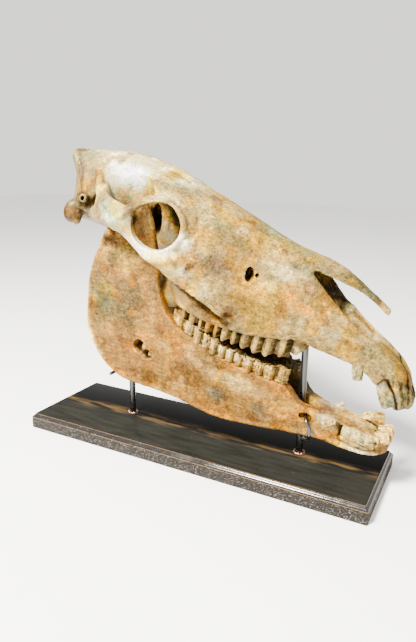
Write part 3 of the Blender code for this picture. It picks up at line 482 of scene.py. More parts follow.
def suture_distance(points):
    """Distance in mm to the nearest suture. The wander is undone by the fixed point q = p - w(q),
    and there each suture is a flat wall: |x - wall|, |y| or the side-view distance to a line."""
    flat = points
    for _ in range(5):
        flat = points - (wander(flat) - flat)
    x, y, z = flat.T
    face = x > FACE_START
    roof = flat_distance(x, z, ROOF_FOOT, ROOF_TIP)
    muzzle_wall = flat_distance(x, z, MUZZLE_TOP, MUZZLE_FOOT)
    frontal = ~face & (x > BRAIN_END) & (z > BRAIN_TOP)
    walls = [(abs(x - FACE_START), abs(y) < ARCH_SIDE), (abs(roof), face & (x < ROOF_END)),
             (abs(muzzle_wall), face & (roof < 0)), (abs(x - BRAIN_END), ~face & (z > BRAIN_TOP)),
             (abs(y), (face & (z > PALATE_TOP)) | frontal)]
    return np.min([np.where(where, distance, 99.0) for distance, where in walls], axis=0)


points, normals = surface(cranium)
x, y, z = points.T
side = np.abs(y)
sides = np.column_stack([x, side, z])
lift = uneven(points, SKULL_GRAINS)
lift += 0.12 * ripple(points * np.array([0.14, 1, 1]), 2.0, 14) * bump(normals[:, 0], 0.8)
# The sutures are sunk and the roof dips a little at the brow
lift -= SUTURE_DEPTH * bump(suture_distance(points), SUTURE_WIDTH)
lift -= 1.4 * bump(x - 212, 40) * np.clip(normals[:, 2], 0, 1)
for centre, reach, depth in PITS:
    lift -= depth * blob(points, centre, reach)
for crack in CRACKS:
    lift -= CRACK_DEPTH * bump(near_line(points, crack), CRACK_WIDTH)
# Streaks down the temples, and the tooth roots showing in the jaw
fossa = bump(x - 140, 34) * bump(z - 142, 15) * bump(side - 48, 16)
lift += 0.45 * fossa * ripple(points * np.array([1, 0.3, 0.22]), 3.2, 15)
for root, reach in UPPER_ROOTS:
    lift += 1.1 * bump(x - root, reach * 0.55) * bump(z - 12, 13) * bump(side - 56, 16)
# The facial crest overhangs a groove and ends over a hollow
lift += 1.8 * bump(near_line(sides, CREST_EDGE), 3.5) - 3.4 * bump(near_line(sides, UNDER_EDGE), 4.5)
lift -= 3.6 * blob(sides, *CREST_END)
# The nape, the facial crest and the rim of the eye are chipped and rough
nape = bump(near_line(points, NAPE_EDGE), 9)
chips = np.maximum(ripple(points, 5, 16) - 0.15, 0)
ridge = bump(near_line(sides, CREST_EDGE), 6)
rim = bump(near_line(sides, [(s[0], s[1], s[2] - 3) for s in ORBIT_RIM]), 6) * np.clip((z - 92) / 16, 0, 1)
lift -= (2.0 * nape + 1.4 * ridge + 1.8 * rim) * chips
lift += 0.6 * (nape + ridge + rim) * ripple(points, 2.6, 17)
lift += 1.6 * blob(sides, (60, 44, 80), (22, 18, 20)) * ripple(points, 5, 18)
# Lengthwise lines on the nasal bones' tip
lift += (0.5 * bump(z - 96, 22) * bump(x - 450, 50) * (z > 60)
         * ripple(points * np.array([0.1, 1, 1]), 2.4, 19))
reshape(cranium, points + normals * lift[:, None])

# ---------------------------------------------------------------------------------------------
# Cranial bones. The cranium is parted at its sutures: each bone is what a block with winding walls
# holds, a block being a side outline of (x, z) carried over a span of y. All are dry bone stained
# tan, orange and olive; the braincase and the cheek arches are bleached and smoother.
BLOCK_STEP = 3.0
CHEEK_PLANE, BROW_FOOT, FAR = 72, 124, 240
# Pose over the plinth: the nose-down turn, and where the skull's zero point stands, in metres
TILT = math.radians(13.26)
PLACE = np.array([-0.2553, 0.0053, 0.2787])
MM = 0.001


def block(name, outline, low, high):
    """Closed block over a side outline from y = low to y = high, in small triangles that wander."""
    solid = bmesh.new()
    ring = [solid.verts.new((x, low, z)) for x, z in outline]
    face = solid.faces.new(ring)
    grown = bmesh.ops.extrude_face_region(solid, geom=[face])
    moved = [v for v in grown["geom"] if isinstance(v, bmesh.types.BMVert)]
    bmesh.ops.translate(solid, verts=moved, vec=(0, high - low, 0))
    bmesh.ops.recalc_face_normals(solid, faces=solid.faces)
    bmesh.ops.triangulate(solid, faces=solid.faces)
    for _ in range(8):
        long_edges = [e for e in solid.edges if e.calc_length() > 2 * BLOCK_STEP]
        if not long_edges:
            break
        bmesh.ops.subdivide_edges(solid, edges=long_edges, cuts=1)
        bmesh.ops.triangulate(solid, faces=[f for f in solid.faces if len(f.verts) > 3])
    mesh = bpy.data.meshes.new(name)
    solid.to_mesh(mesh)
    solid.free()
    obj = add_object(name, mesh)
    reshape(obj, wander(surface(obj)[0]))
    return obj


blocks = {
    "behind": ([(-20, -90), (-20, 230), (FACE_START, 230), (FACE_START, -90)], -FAR, FAR),
    "nose_roof": ([ROOF_FOOT, ROOF_TIP, (600, -10), (600, 230), (ROOF_FOOT[0], 230)], -FAR, FAR),
    "muzzle": ([MUZZLE_TOP, MUZZLE_FOOT, (479, -90), (640, -90), (640, 230), (404, 230)], -FAR, FAR),
    "brow": ([(BRAIN_END, BRAIN_TOP), (BRAIN_END, 230), (292, 230), (292, BRAIN_TOP)], -FAR, FAR),
    "left_half": ([(-40, -120), (-40, 240), (660, 240), (660, -120)], 0, FAR)}
cheek_outline = [(80, -90), (80, 200), (156, 200), (156, BROW_FOOT), (205, BROW_FOOT), (205, BRAIN_TOP),
                 (292, BRAIN_TOP), (292, -90)]
blocks["left_cheek"] = (cheek_outline, CHEEK_PLANE, FAR)
blocks["right_cheek"] = (cheek_outline, -FAR, -CHEEK_PLANE)
blocks = {name: block(name, *shape) for name, shape in blocks.items()}


def part_off(source, name, wall):
    """Takes what the wall's block holds out of the source as a new piece."""
    piece = add_object(name, source.data.copy())
    combine(piece, blocks[wall], "INTERSECT", keep_tool=True)
    combine(source, blocks[wall], "DIFFERENCE", keep_tool=True)
    return piece


rear = part_off(cranium, "rear", "behind")
bones = {"zygomatic_arch_left": part_off(rear, "zygomatic_arch_left", "left_cheek"),
         "zygomatic_arch_right": part_off(rear, "zygomatic_arch_right", "right_cheek"),
         "frontal_right": part_off(rear, "frontal_right", "brow")}
bones["frontal_left"] = part_off(bones["frontal_right"], "frontal_left", "left_half")
bones["braincase"] = rear
bones["nasal_right"] = part_off(cranium, "nasal_right", "nose_roof")
bones["nasal_left"] = part_off(bones["nasal_right"], "nasal_left", "left_half")
bones["premaxilla_right"] = part_off(cranium, "premaxilla_right", "muzzle")
bones["premaxilla_left"] = part_off(bones["premaxilla_right"], "premaxilla_left", "left_half")
bones["maxilla_left"] = part_off(cranium, "maxilla_left", "left_half")
bones["maxilla_right"] = cranium
for wall in blocks.values():
    discard(wall)


def edge_ends(obj):
    """(a, b): the numbers of the corners at the two ends of each edge."""
    ends = np.empty(len(obj.data.edges) * 2, np.int64)
    obj.data.edges.foreach_get("vertices", ends)
    return ends.reshape(-1, 2).T


def drop_crumbs(obj, least=150):
    """Removes loose scraps of fewer than the least number of corners: each corner takes the lowest
    number found among its neighbours until nothing changes, which names its island."""
    mesh = obj.data
    a, b = edge_ends(obj)
    island = np.arange(len(mesh.vertices))
    while True:
        low = np.minimum(island[a], island[b])
        after = island.copy()
        np.minimum.at(after, a, low)
        np.minimum.at(after, b, low)
        after = after[after]
        if (after == island).all():
            break
        island = after
    small = np.bincount(island, minlength=len(island))[island] < least
    if small.any():
        solid = bmesh.new()
        solid.from_mesh(mesh)
        solid.verts.ensure_lookup_table()
        scraps = [solid.verts[i] for i in np.flatnonzero(small)]
        bmesh.ops.delete(solid, geom=scraps, context="VERTS")
        solid.to_mesh(mesh)
        solid.free()


BONE_COLOUR = (0.40, 0.27, 0.11)
# Tones: centre or line, reach, colour; those whose first y is positive are for the left side alone
BONE_TONES = [((110, -20, 168), (90, 48, 24), (0.74, 0.62, 0.34)),
              ((200, -20, 165), (60, 60, 18), (0.76, 0.66, 0.40)),
              ((40, -24, 152), (24, 30, 16), (0.38, 0.33, 0.19)),
              ((215, -75, 143), (30, 26, 10), (0.80, 0.62, 0.28)),
              ((150, -46, 126), (40, 24, 11), (0.50, 0.36, 0.16)),
              # Painted highlight on the smooth bone of the temple: a soft pale spot with a white middle
              ((136, -46, 150), (44, 22, 18), (0.74, 0.76, 0.66)),
              ((136, -46, 154), (30, 20, 11), (1.0, 1.0, 0.97)),
              ((182, -50, 148), (8, 18, 9), (0.16, 0.09, 0.03)),
              ((155, -102, 108), (34, 18, 17), (0.56, 0.62, 0.48)),
              # Painted highlight, bluish white, on the root of the cheek arch
              ((116, -70, 116), (13, 18, 17), (0.80, 0.90, 0.76)),
              ((200, -104, 84), (22, 18, 12), (0.90, 0.84, 0.58)),
              ((222, -107, 76), (26, 18, 11), (1.0, 0.93, 0.66)),
              ((240, -96, 86), (24, 20, 18), (0.92, 0.83, 0.58)),
              ((253, -87, 97), (14, 13, 13), (0.84, 0.74, 0.50)),
              ((256, -90, 60), (26, 14, 10), (0.78, 0.66, 0.38)),
              ((285, -80, 44), (26, 12, 10), (0.70, 0.52, 0.24)),
              ((301, -66, 78), (36, 18, 17), (0.24, 0.15, 0.09)),
              ((316, -51, 103), (30, 18, 14), (0.36, 0.22, 0.07)),
              ((275, -70, 108), (22, 18, 14), (0.58, 0.32, 0.04)),
              ((262, -78, 76), (16, 18, 14), (0.50, 0.27, 0.07)),
              ((352, -55, 58), (26, 18, 16), (0.50, 0.32, 0.10)),
              ((330, -58, 40), (32, 18, 13), (0.22, 0.15, 0.07)),
              ((262, -40, 138), (34, 34, 18), (0.62, 0.46, 0.20)),
              ((350, -10, 125), (66, 12, 14), (0.36, 0.33, 0.17)),
              ((352, -32, 108), (50, 12, 12), (0.44, 0.28, 0.08)),
              ((376, -40, 90), (20, 12, 14), (0.66, 0.52, 0.28)),
              ((405, -30, 101), (30, 10, 7), (0.25, 0.22, 0.12)),
              ((462, -4, 96), (44, 18, 16), (0.15, 0.135, 0.085)),
              ((452, -14, 97), (30, 5, 5), (0.17, 0.13, 0.07)),
              ((420, -36, 64), (12, 12, 8), (0.30, 0.25, 0.13)),
              ((392, -42, 76), (20, 12, 10), (0.52, 0.30, 0.08)),
              ((408, -42, 38), (22, 14, 11), (0.34, 0.25, 0.12)),
              ((409, -38, 56), (15, 14, 8), (0.74, 0.33, 0.02)),
              ((390, -42, 66), (12, 12, 7), (0.62, 0.32, 0.05)),
              ((450, -27, 46), (22, 14, 16), (0.40, 0.26, 0.09)),
              ((456, -27, 34), (14, 12, 9), (0.30, 0.25, 0.14)),
              ((520, -22, 24), (34, 24, 26), (0.28, 0.21, 0.085)),
              ((548, -6, 12), (12, 16, 16), (0.30, 0.18, 0.05)),
              ((290, -62, 14), (60, 14, 10), (0.42, 0.25, 0.08)),
              # Painted shadow under the overhanging facial crest, and painted shade in the hollow where the
              # crest ends
              ([(219, -68, 49), (235, -66, 42), (252, -64, 33), (268, -63, 26), (284, -62, 21),
                (300, -61, 15), (312, -60, 11), (324, -58, 7)], 5.0, (0.10, 0.055, 0.015)),
              ((325, -63, 17), (14, 12, 11), (0.20, 0.125, 0.05)),
              # Painted shade down the rear face of the cheek tuber, where the ramus shades it
              ([(222, -56, 50), (223, -56, 24), (224, -55, 4)], 6.0, (0.09, 0.05, 0.015)),
              ((250, -50, 4), (14, 14, 6), (0.72, 0.62, 0.36)),
              # Painted shade inside the nasal passage and the left nostril
              ((400, -1, 66), (74, 21, 34), (0.04, 0.025, 0.012)),
              ((428, 26, 78), (24, 9, 20), (0.10, 0.075, 0.08)),
              ((446, 20, 62), (10, 8, 12), (0.09, 0.06, 0.03)),
              ([(456, 19, 58), (470, 18, 53), (488, 15, 44), (505, 13, 38)], 8.0, (0.66, 0.52, 0.26)),
              ([(508, 12, 37), (535, 12, 26), (552, 7, 12)], 8.0, (0.36, 0.28, 0.13)),
              ([(462, 0, 50), (484, 0, 42), (505, 0, 37.5), (535, 0, 24),
                (552, 0, 9)], 3.0, (0.16, 0.08, 0.03)),
              ([(462, -18, 56), (476, -17, 50), (492, -15, 43)], 3.4, (0.42, 0.22, 0.04)),
              (SNOUT_CRACK, 2.0, (0.04, 0.025, 0.01)),
              ([(530, -34, 8), (533, -33, 4.4), (540, -32, -5.6)], 2.0, (0.02, 0.012, 0.008)),
              ([(517, -35, -5), (521, -35, -1), (524, -36, 4), (526, -36, 8),
                (530, -34, 8)], 1.8, (0.04, 0.025, 0.01)),
              ((541, -27, 2), (4, 8, 5), (0.50, 0.30, 0.10)),
              # Painted shade on the back face of the nuchal crest
              ([(40, -38, 145), (49, -42, 133), (57, -46, 121), (62, -48, 110)], 5.0, (0.15, 0.09, 0.03)),
              ((14, -9, 150), (12, 24, 12), (0.30, 0.24, 0.15)),
              # Painted shade round the ear and in its recess; below, the ear tube's pale ring, then painted
              # shade down its canal
              ((74, -56, 96), (20, 16, 22), (0.05, 0.036, 0.02)),
              ((89, -50, 100), (7, 14, 16), (0.03, 0.02, 0.01)),
              ((77, -67, 103.5), (7, 5, 7), (0.34, 0.28, 0.15)),
              ((75, -56, 101), (3.5, 9, 3.5), (0.03, 0.02, 0.01)),
              ((54, -42, 72), (20, 14, 18), (0.11, 0.06, 0.03)),
              ((28, -32, 71), (17, 20, 20), (0.15, 0.09, 0.04)),
              # Inside the eye socket the dark tones are painted shade: on the front wall, over the socket
              # and its lower part, in the deep hollow and the slot beside it
              ((238, -72, 105), (13, 14, 24), (0.12, 0.08, 0.03)),
              ((198, -30, 106), (12, 10, 24), (0.34, 0.25, 0.12)),
              ((214, -42, 110), (26, 28, 34), (0.05, 0.035, 0.02)),
              ((190, -44, 84), (18, 20, 28), (0.10, 0.06, 0.03)),
              # Painted light: a lit crescent on the inner wall of the eye socket
              ((190, -31, 104), (7, 9, 20), (0.80, 0.56, 0.24)),
              ((175, -20, 92), (9, 16, 20), (0.02, 0.012, 0.008)),
              ((170, -33, 110), (7, 12, 16), (0.05, 0.03, 0.015)),
              ((205, -28, 80), (14, 14, 12), (0.40, 0.34, 0.22)),
              # Painted shade inside the opening in the cheek
              ((331, -45, 77), (12, 9, 11), (0.03, 0.018, 0.01)),
              ((366, -52, 72), (14, 12, 9), (0.72, 0.58, 0.34)),
              ((150, -10, 60), (90, 26, 16), (0.30, 0.20, 0.09)),
              ((236, -40, 10), (28, 24, 16), (0.40, 0.28, 0.12))]

# Clouds: slow size, fine size, seed, level, factor on red, green and blue
CLOUDS = [(24, 9, 25, 0.05, (1.25, 1.015, 0.24)), (28, 10, 27, 0.16, (0.68, 0.76, 0.80)),
          (20, 8, 29, 0.20, (0.62, 0.55, 0.62)), (15, 6, 31, 0.22, (1.50, 1.52, 1.60))]
# Pale colours keep this share of their light, dull ones this share of red, green and blue
PALE_SHARE, DULL_SHARE = 0.54, (0.37, 0.35, 0.235)


def tint(obj, base, tones, mottle=1.0):
    """Colours the piece by position: each tone covers what lies in its bell round a centre or along a
    line, with an edge broken up by two fields; tones are given for the right side and serve the left
    one too, but for those with a positive y. Orange, olive, plum and pale clouds then come in where a
    sum of three fields passes a level, and dull tones lose more of their blue than pale ones."""
    points = surface(obj)[0]
    outer = np.column_stack([points[:, 0], -np.abs(points[:, 1]), points[:, 2]])
    colour = np.tile(np.array(base, float), (len(points), 1))
    ragged = uneven(points, [(0.34, 14, 21), (0.26, 5.5, 22)])
    for centre, reach, tone in tones:
        edge = ragged * (1.15 - np.mean(tone))
        if isinstance(centre, list):
            place = points if centre[0][1] > 0 else outer
            cover = np.clip(1.5 * bump(near_line(place, centre), reach) - 0.15 + 0.6 * edge, 0, 1)
            cover *= near_line(place, centre) < 2 * reach
        else:
            place = points if centre[1] > 0 else outer
            cover = np.clip(1.7 * blob(place, centre, reach) - 0.35 + edge, 0, 1)
            cover *= np.clip(2.5 * blob(place, centre, np.array(reach) * 1.7), 0, 1)
        colour += (np.array(tone) - colour) * cover[:, None]
    for slow, fine, seed, level, change in CLOUDS:
        field = uneven(points, [(0.8, slow, seed), (0.4, fine, seed + 50), (0.2, 2.7, seed + 80)]) - level
        colour *= 1 + mottle * (np.array(change) - 1) * np.clip(3.2 * field, 0, 1)[:, None]
    pale = np.clip((colour.mean(1, keepdims=True) - 0.36) / 0.6, 0, 1)
    colour *= PALE_SHARE * pale + (1 - pale) * np.array(DULL_SHARE)
    colour *= 1 + 0.16 * ripple(points, 30, 23)[:, None] + 0.14 * ripple(points, 2.8, 24)[:, None]
    layer = obj.data.color_attributes.new("tint", "FLOAT_COLOR", "POINT")
    layer.data.foreach_set("color", np.column_stack([np.clip(colour, 0, 1), np.ones(len(points))]).ravel())


def paint_hollow_shade(obj, depth, rounds):
    """Painted shade in hollows and painted light on ridges: the surface is averaged over its edges for
    some rounds, and each point's colour is scaled by exp(depth * its height over that average)."""
    points, normals = surface(obj)
    a, b = edge_ends(obj)
    count = np.bincount(np.concatenate([a, b]), minlength=len(points))[:, None]
    mean = points.copy()
    for _ in range(rounds):
        total = np.stack([np.bincount(a, mean[b, k], len(points)) + np.bincount(b, mean[a, k], len(points))
                          for k in range(3)], -1)
        mean = 0.4 * mean + 0.6 * total / count
    height = ((points - mean) * normals).sum(1)
    layer = obj.data.color_attributes["tint"]
    colour = np.empty(len(points) * 4)
    layer.data.foreach_get("color", colour)
    colour = colour.reshape(-1, 4)
    colour[:, :3] *= np.clip(np.exp(depth * height), 0.18, 1.7)[:, None]
    layer.data.foreach_set("color", np.clip(colour, 0, 1).ravel())


def node_maker(tree):
    """Gives new(kind, settings, sockets), which adds a node to the tree. Settings are set first. Each
    named socket, or i and its number, then gets a number, a colour or another node's output."""
    def new(kind, settings=None, **sockets):
        node = tree.nodes.new(kind)
        for setting, value in (settings or {}).items():
            setattr(node, setting, value)
        for socket, value in sockets.items():
            entry = node.inputs[int(socket[1:]) if socket[1:].isdigit() else socket.replace("_", " ")]
            if isinstance(value, bpy.types.NodeSocket):
                tree.links.new(value, entry)
            else:
                entry.default_value = value
        return node

    return new


def shader_nodes(name):
    """(material, its Principled shader, connect(output, socket), new) for a new material."""
    material = bpy.data.materials.new(name)
    material.use_nodes = True
    tree = material.node_tree
    shader = tree.nodes["Principled BSDF"]

    def connect(output, socket):
        tree.links.new(output, shader.inputs[socket])

    return material, shader, connect, node_maker(tree)


def bone_material(name, gloss=(0.40, 0.66), relief=0.0005, vary=1.0, stretch=(60, 420, 420), ior=1.17):
    """Dry bone: the painted tint times streaks along the bone, clouds, grain, a drift from cool to warm
    and sparse dark pores, with all but the drift in the bump too. vary scales how strong streaks,
    clouds and grain are. Where the tint is dark, from stain or from painted shade, the sheen goes."""
    material, shader, connect, new = shader_nodes(name)
    place = new("ShaderNodeTexCoord").outputs["Object"]
    turned = new("ShaderNodeMapping", Vector=place, Rotation=(0, -TILT, 0), Scale=stretch)
    streak = new("ShaderNodeTexNoise", Vector=turned.outputs[0], Scale=1.0, Detail=6.0, Roughness=0.66)
    grain = new("ShaderNodeTexNoise", Vector=place, Scale=330.0, Detail=3.0, Roughness=0.65)
    cloud = new("ShaderNodeTexNoise", Vector=place, Scale=120.0, Detail=8.0, Roughness=0.72)
    hue = new("ShaderNodeTexNoise", Vector=place, Scale=170.0, Detail=6.0, Roughness=0.7)
    pores = new("ShaderNodeTexVoronoi", Vector=place, Scale=260.0)
    painted = new("ShaderNodeAttribute", {"attribute_name": "tint"}).outputs["Color"]
    factors = [new("ShaderNodeMapRange", Value=source.outputs["Fac"], From_Min=0.32, From_Max=0.68,
                   To_Min=1 - depth * vary, To_Max=1 + depth * vary).outputs[0]
               for source, depth in ((streak, 0.32), (cloud, 0.46), (grain, 0.44))]
    warm = new("ShaderNodeMapRange", Value=hue.outputs["Fac"], From_Min=0.36, From_Max=0.64)
    drift = new("ShaderNodeMix", {"data_type": "RGBA"}, Factor=warm.outputs[0],
                A=(0.90, 0.98, 1.18, 1), B=(1.10, 1.0, 0.70, 1))
    open_pore = new("ShaderNodeMapRange", Value=pores.outputs["Distance"], From_Min=0.10, From_Max=0.26,
                    To_Min=0.35, To_Max=1.0)
    tone = painted
    for factor in (*factors, drift.outputs["Result"], open_pore.outputs[0]):
        tone = new("ShaderNodeVectorMath", {"operation": "MULTIPLY"}, i0=tone, i1=factor).outputs[0]
    connect(tone, "Base Color")
    red = new("ShaderNodeSeparateColor", Color=painted).outputs[0]
    sheen = new("ShaderNodeMapRange", Value=red, From_Min=0.03, From_Max=0.11, To_Min=0.0, To_Max=0.5)
    connect(sheen.outputs[0], "Specular IOR Level")
    rough = new("ShaderNodeMapRange", Value=cloud.outputs["Fac"], From_Min=0.3, From_Max=0.7,
                To_Min=gloss[0], To_Max=gloss[1])
    connect(rough.outputs[0], "Roughness")
    height = streak.outputs["Fac"]
    for source in (open_pore.outputs[0], grain.outputs["Fac"], cloud.outputs["Fac"]):
        height = new("ShaderNodeMath", i0=height, i1=source).outputs[0]
    bumps = new("ShaderNodeBump", Height=height, Distance=relief, Strength=0.9)
    connect(bumps.outputs["Normal"], "Normal")
    shader.inputs["IOR"].default_value = ior
    return material


def on_stand(obj):
    """Carries a piece from skull millimetres to its tilted place over the plinth, in metres."""
    turn = np.array(Matrix.Rotation(TILT, 3, "Y"))
    reshape(obj, surface(obj)[0] @ turn.T * MM + PLACE)


def finish_piece(obj, material, slot, *nodes, sharp=50):
    """Smooth shading with creases, the material and the solids that the piece stands for. The slot is not
    used.
    """
    obj.data.shade_smooth()
    obj.data.set_sharp_from_angle(angle=math.radians(sharp))
    obj.data.materials.clear()
    obj.data.materials.append(material)
    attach(obj, "root")
    if nodes:
        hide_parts(*nodes)


dry_bone = bone_material("dry bone")
smooth_bone = bone_material("smooth bone", gloss=(0.30, 0.52), relief=0.0003, vary=0.6, ior=1.32)
for name, piece in bones.items():
    drop_crumbs(piece)
    piece.name = name + "_bone"
    tint(piece, BONE_COLOUR, BONE_TONES)
    # Painted shade in the hollows and painted light on the ridges
    paint_hollow_shade(piece, 0.9, 6)
    on_stand(piece)
    if name == "braincase" or name.startswith("zygomatic"):
        finish_piece(piece, smooth_bone, "pale_bone", name)
    else:
        finish_piece(piece, dry_bone, "bone", name)

# ---------------------------------------------------------------------------------------------
# Upper cheek teeth. Six grinding teeth a side, each its own column of grey-brown tooth seated in
# the jaw: ridges and hollows run down the cheek face, and the biting face is a worn, ridged table.
# Each tooth: name, its ends along the jaw. OUTER and INNER are lines of (x, y), EDGE and GUM of (x, z)
UPPER_TEETH = [("M3", 252, 281.5), ("M2", 282, 304.6), ("M1", 305, 329.6), ("P4", 330, 358.6),
               ("P3", 359, 390), ("P2", 390.5, 428.5)]
UPPER_OUTER = [(250, 53), (262, 54.5), (300, 56), (340, 53), (370, 49), (391, 44), (412, 40), (430, 36)]
UPPER_INNER = [(250, 32), (300, 31), (340, 30), (391, 26), (430, 25)]
UPPER_EDGE = [(250, -5), (262, -8), (297, -13), (325, -15.5), (340, -15), (370, -17), (385, -15.5),
              (400, -11), (416, -3), (430, 6)]
SEAT = 13
UPPER_GUM = [(250, 2), (300, -1), (340, 0), (380, 6), (404, 12), (430, 18)]
# The upper cheek teeth's own tone, darkened further by painted shade, the shadow that the cheek casts over
# them
UPPER_COLOUR_AND_SHADE = (0.12, 0.08, 0.04)
UPPER_TONES = [((266, -54, -6), (18, 12, 9), (0.22, 0.135, 0.05)),
               ((300, -56, -7), (28, 10, 8), (0.32, 0.185, 0.05)),
               ((335, -54, -9), (26, 10, 8), (0.28, 0.185, 0.07)),
               ((375, -48, -8), (24, 10, 10), (0.29, 0.20, 0.08)),
               ((410, -40, 0), (22, 10, 9), (0.36, 0.28, 0.15)),
               # Painted shade in the gap between the rows and over the far row of teeth
               ((340, -38, -14), (110, 9, 8), (0.12, 0.07, 0.035)),
               ((350, 40, -8), (130, 24, 30), (0.07, 0.045, 0.03))]


def upper_ribs(s, v):
    """Cheek face of an upper tooth: two lobes, with furrows at its ends and middle and a ridge beside
    the middle one."""
    furrows = bump(s + 1, 0.24) + 0.9 * bump(s + 0.06, 0.16) + bump(s - 1, 0.22)
    return 1.4 * (bump(s - 0.5, 0.3) + bump(s + 0.5, 0.3)) + 1.0 * bump(s - 0.16, 0.08) - 6.5 * furrows


def cheek_tooth(start, end, gum, outer, inner, edge, ribs, around=96, rows=34, rings=10):
    """Column tooth on a grid: u runs round an oval squared by a power of its sine and cosine, and v
    runs from the root, SEAT past the gum line, to the biting edge. ribs(s, v) moves the cheek face, s
    being the place along the tooth from -1 to 1. Past the gum line the column narrows into the jaw. The
    last rings shrink to the middle as the worn table, cut by ripples."""
    u = np.linspace(0, 2 * math.pi, around, endpoint=False)[None, :]
    middle, half = (start + end) / 2, (end - start) / 2
    cheek, tongue = through(outer, middle)[0, 0], through(inner, middle)[0, 0]
    s = np.sign(np.cos(u)) * np.abs(np.cos(u)) ** 0.45
    t = np.sign(np.sin(u)) * np.abs(np.sin(u)) ** 0.45
    v = np.concatenate([np.linspace(0, 1, rows), np.ones(rings)])[:, None]
    shrink = np.concatenate([np.ones(rows), np.linspace(0.97, 0.03, rings)])[:, None]
    face = np.clip(t, 0, 1) ** 2
    along = s * half * shrink
    across = (t * (cheek - tongue) / 2 + ribs(s, v) * face) * shrink
    lean = (through(outer, end)[0, 0] - through(outer, start)[0, 0]) / (2 * half)
    tip = through(edge, (middle + s * half).ravel())[:, 0][None, :]
    seat = through(gum, middle)[0, 0]
    down = np.sign(tip.mean() - seat)
    root = seat - down * SEAT
    tip = tip + down * face * (3.4 * bump(s + 0.5, 0.24) + 3.4 * bump(s - 0.5, 0.24) - 2.0)
    level = root + (tip - root) * v
    level = level + down * 0.12 * across * (v >= 1)
    hidden = np.clip((seat - level) * down / 5, 0, 1)
    across = across - 5.0 * face * hidden * hidden * (3 - 2 * hidden)
    flat = np.stack([middle + along + 0 * level, across + 0 * level, 0 * level + start], -1).reshape(-1, 3)
    worn = np.clip((1 - shrink) * 12, 0, 1)
    ridges = 1.5 * np.abs(ripple(flat, 6.5, 31)) + 1.1 * np.abs(ripple(flat, 3.1, 32))
    level = level - down * worn * (0.2 + ridges.reshape(level.shape))
    breadth = (cheek + tongue) / 2 + across + lean * along
    return skin(np.stack([middle + along + 0 * level, breadth + 0 * level, level], -1))


def roughen(obj, amount, size, seed, stretch=1):
    """Moves the surface along its normals by a ripple, scaled along each axis by the stretch."""
    points, normals = surface(obj)
    lift = amount * ripple(points * np.array(stretch), size, seed)
    reshape(obj, points + normals * lift[:, None])


def tooth_piece(name, shell, tones, base, along=2, rough=0.35, hollow_shade=2.6):
    """One tooth from a shell in skull millimetres: roughened, with fine furrows along an axis, then
    coloured, given painted shade in its hollows and painted light on its ridges, and placed."""
    obj = make(name, [shell])
    roughen(obj, 0.7 * rough, 1.7, 41, stretch=np.where(np.arange(3) == along, 0.10, 1.0))
    roughen(obj, rough, 4.5, 42)
    roughen(obj, 0.5 * rough, 2.0, 43)
    tint(obj, base, tones, mottle=0.7)
    # Painted shade in the furrows and painted light on the ridges
    paint_hollow_shade(obj, hollow_shade, 8)
    on_stand(obj)
    finish_piece(obj, tooth_surface, "bone", sharp=45)


tooth_surface = bone_material("worn tooth", gloss=(0.32, 0.60), relief=0.0003, stretch=(400, 400, 80))
for name, start, end in UPPER_TEETH:
    column = cheek_tooth(start, end, UPPER_GUM, UPPER_OUTER, UPPER_INNER, UPPER_EDGE, upper_ribs)
    tooth_piece("upper_" + name + "_left", column, UPPER_TONES, UPPER_COLOUR_AND_SHADE)
    tooth_piece("upper_" + name + "_right", mirrored(column), UPPER_TONES, UPPER_COLOUR_AND_SHADE)

# ---------------------------------------------------------------------------------------------
# Upper front teeth. Curved incisors, each an oval column whose broad face is turned outwards, with
# a hollow cup in the worn tip, and behind them the short stumps of the canines.
INCISOR_COLOUR = (0.24, 0.18, 0.09)
# Each tooth: turn of its broad face from forwards in degrees, line of (x, y, z, half depth, half width)
UPPER_FRONT = {
    "I1": (12, [(540, 8, 12, 4.5, 6.0), (547, 8, 4, 6.0, 7.6), (553, 8.3, -6, 7.2, 8.8),
                (558.5, 8.8, -15, 7, 8.8), (560.5, 9, -23, 5.5, 8.6)]),
    "I2": (38, [(533, 19, 14, 4.8, 6.4), (541, 22, 4, 6.6, 8.4), (548, 24, -8, 7.5, 9.4),
                (553.5, 24.5, -22, 6, 9.2)]),
    "I3": (66, [(521, 26, 16, 5.5, 7.0), (527, 29, 6, 6.8, 9.4), (533, 30.5, -7, 7, 10.4),
                (542, 30, -22.5, 5.4, 9.4)]),
    "C": (90, [(486, 17, 16, 4, 4.5), (490, 20.5, 8, 5, 6), (494, 24.3, 0, 6, 6.8),
               (496.5, 25.6, -8, 4.8, 5.4)])}
CUP = [(0.98, 0.5), (0.90, 1.2), (0.74, 1.5), (0.60, 1.3), (0.46, 0.5), (0.32, -0.7), (0.05, -1.4)]
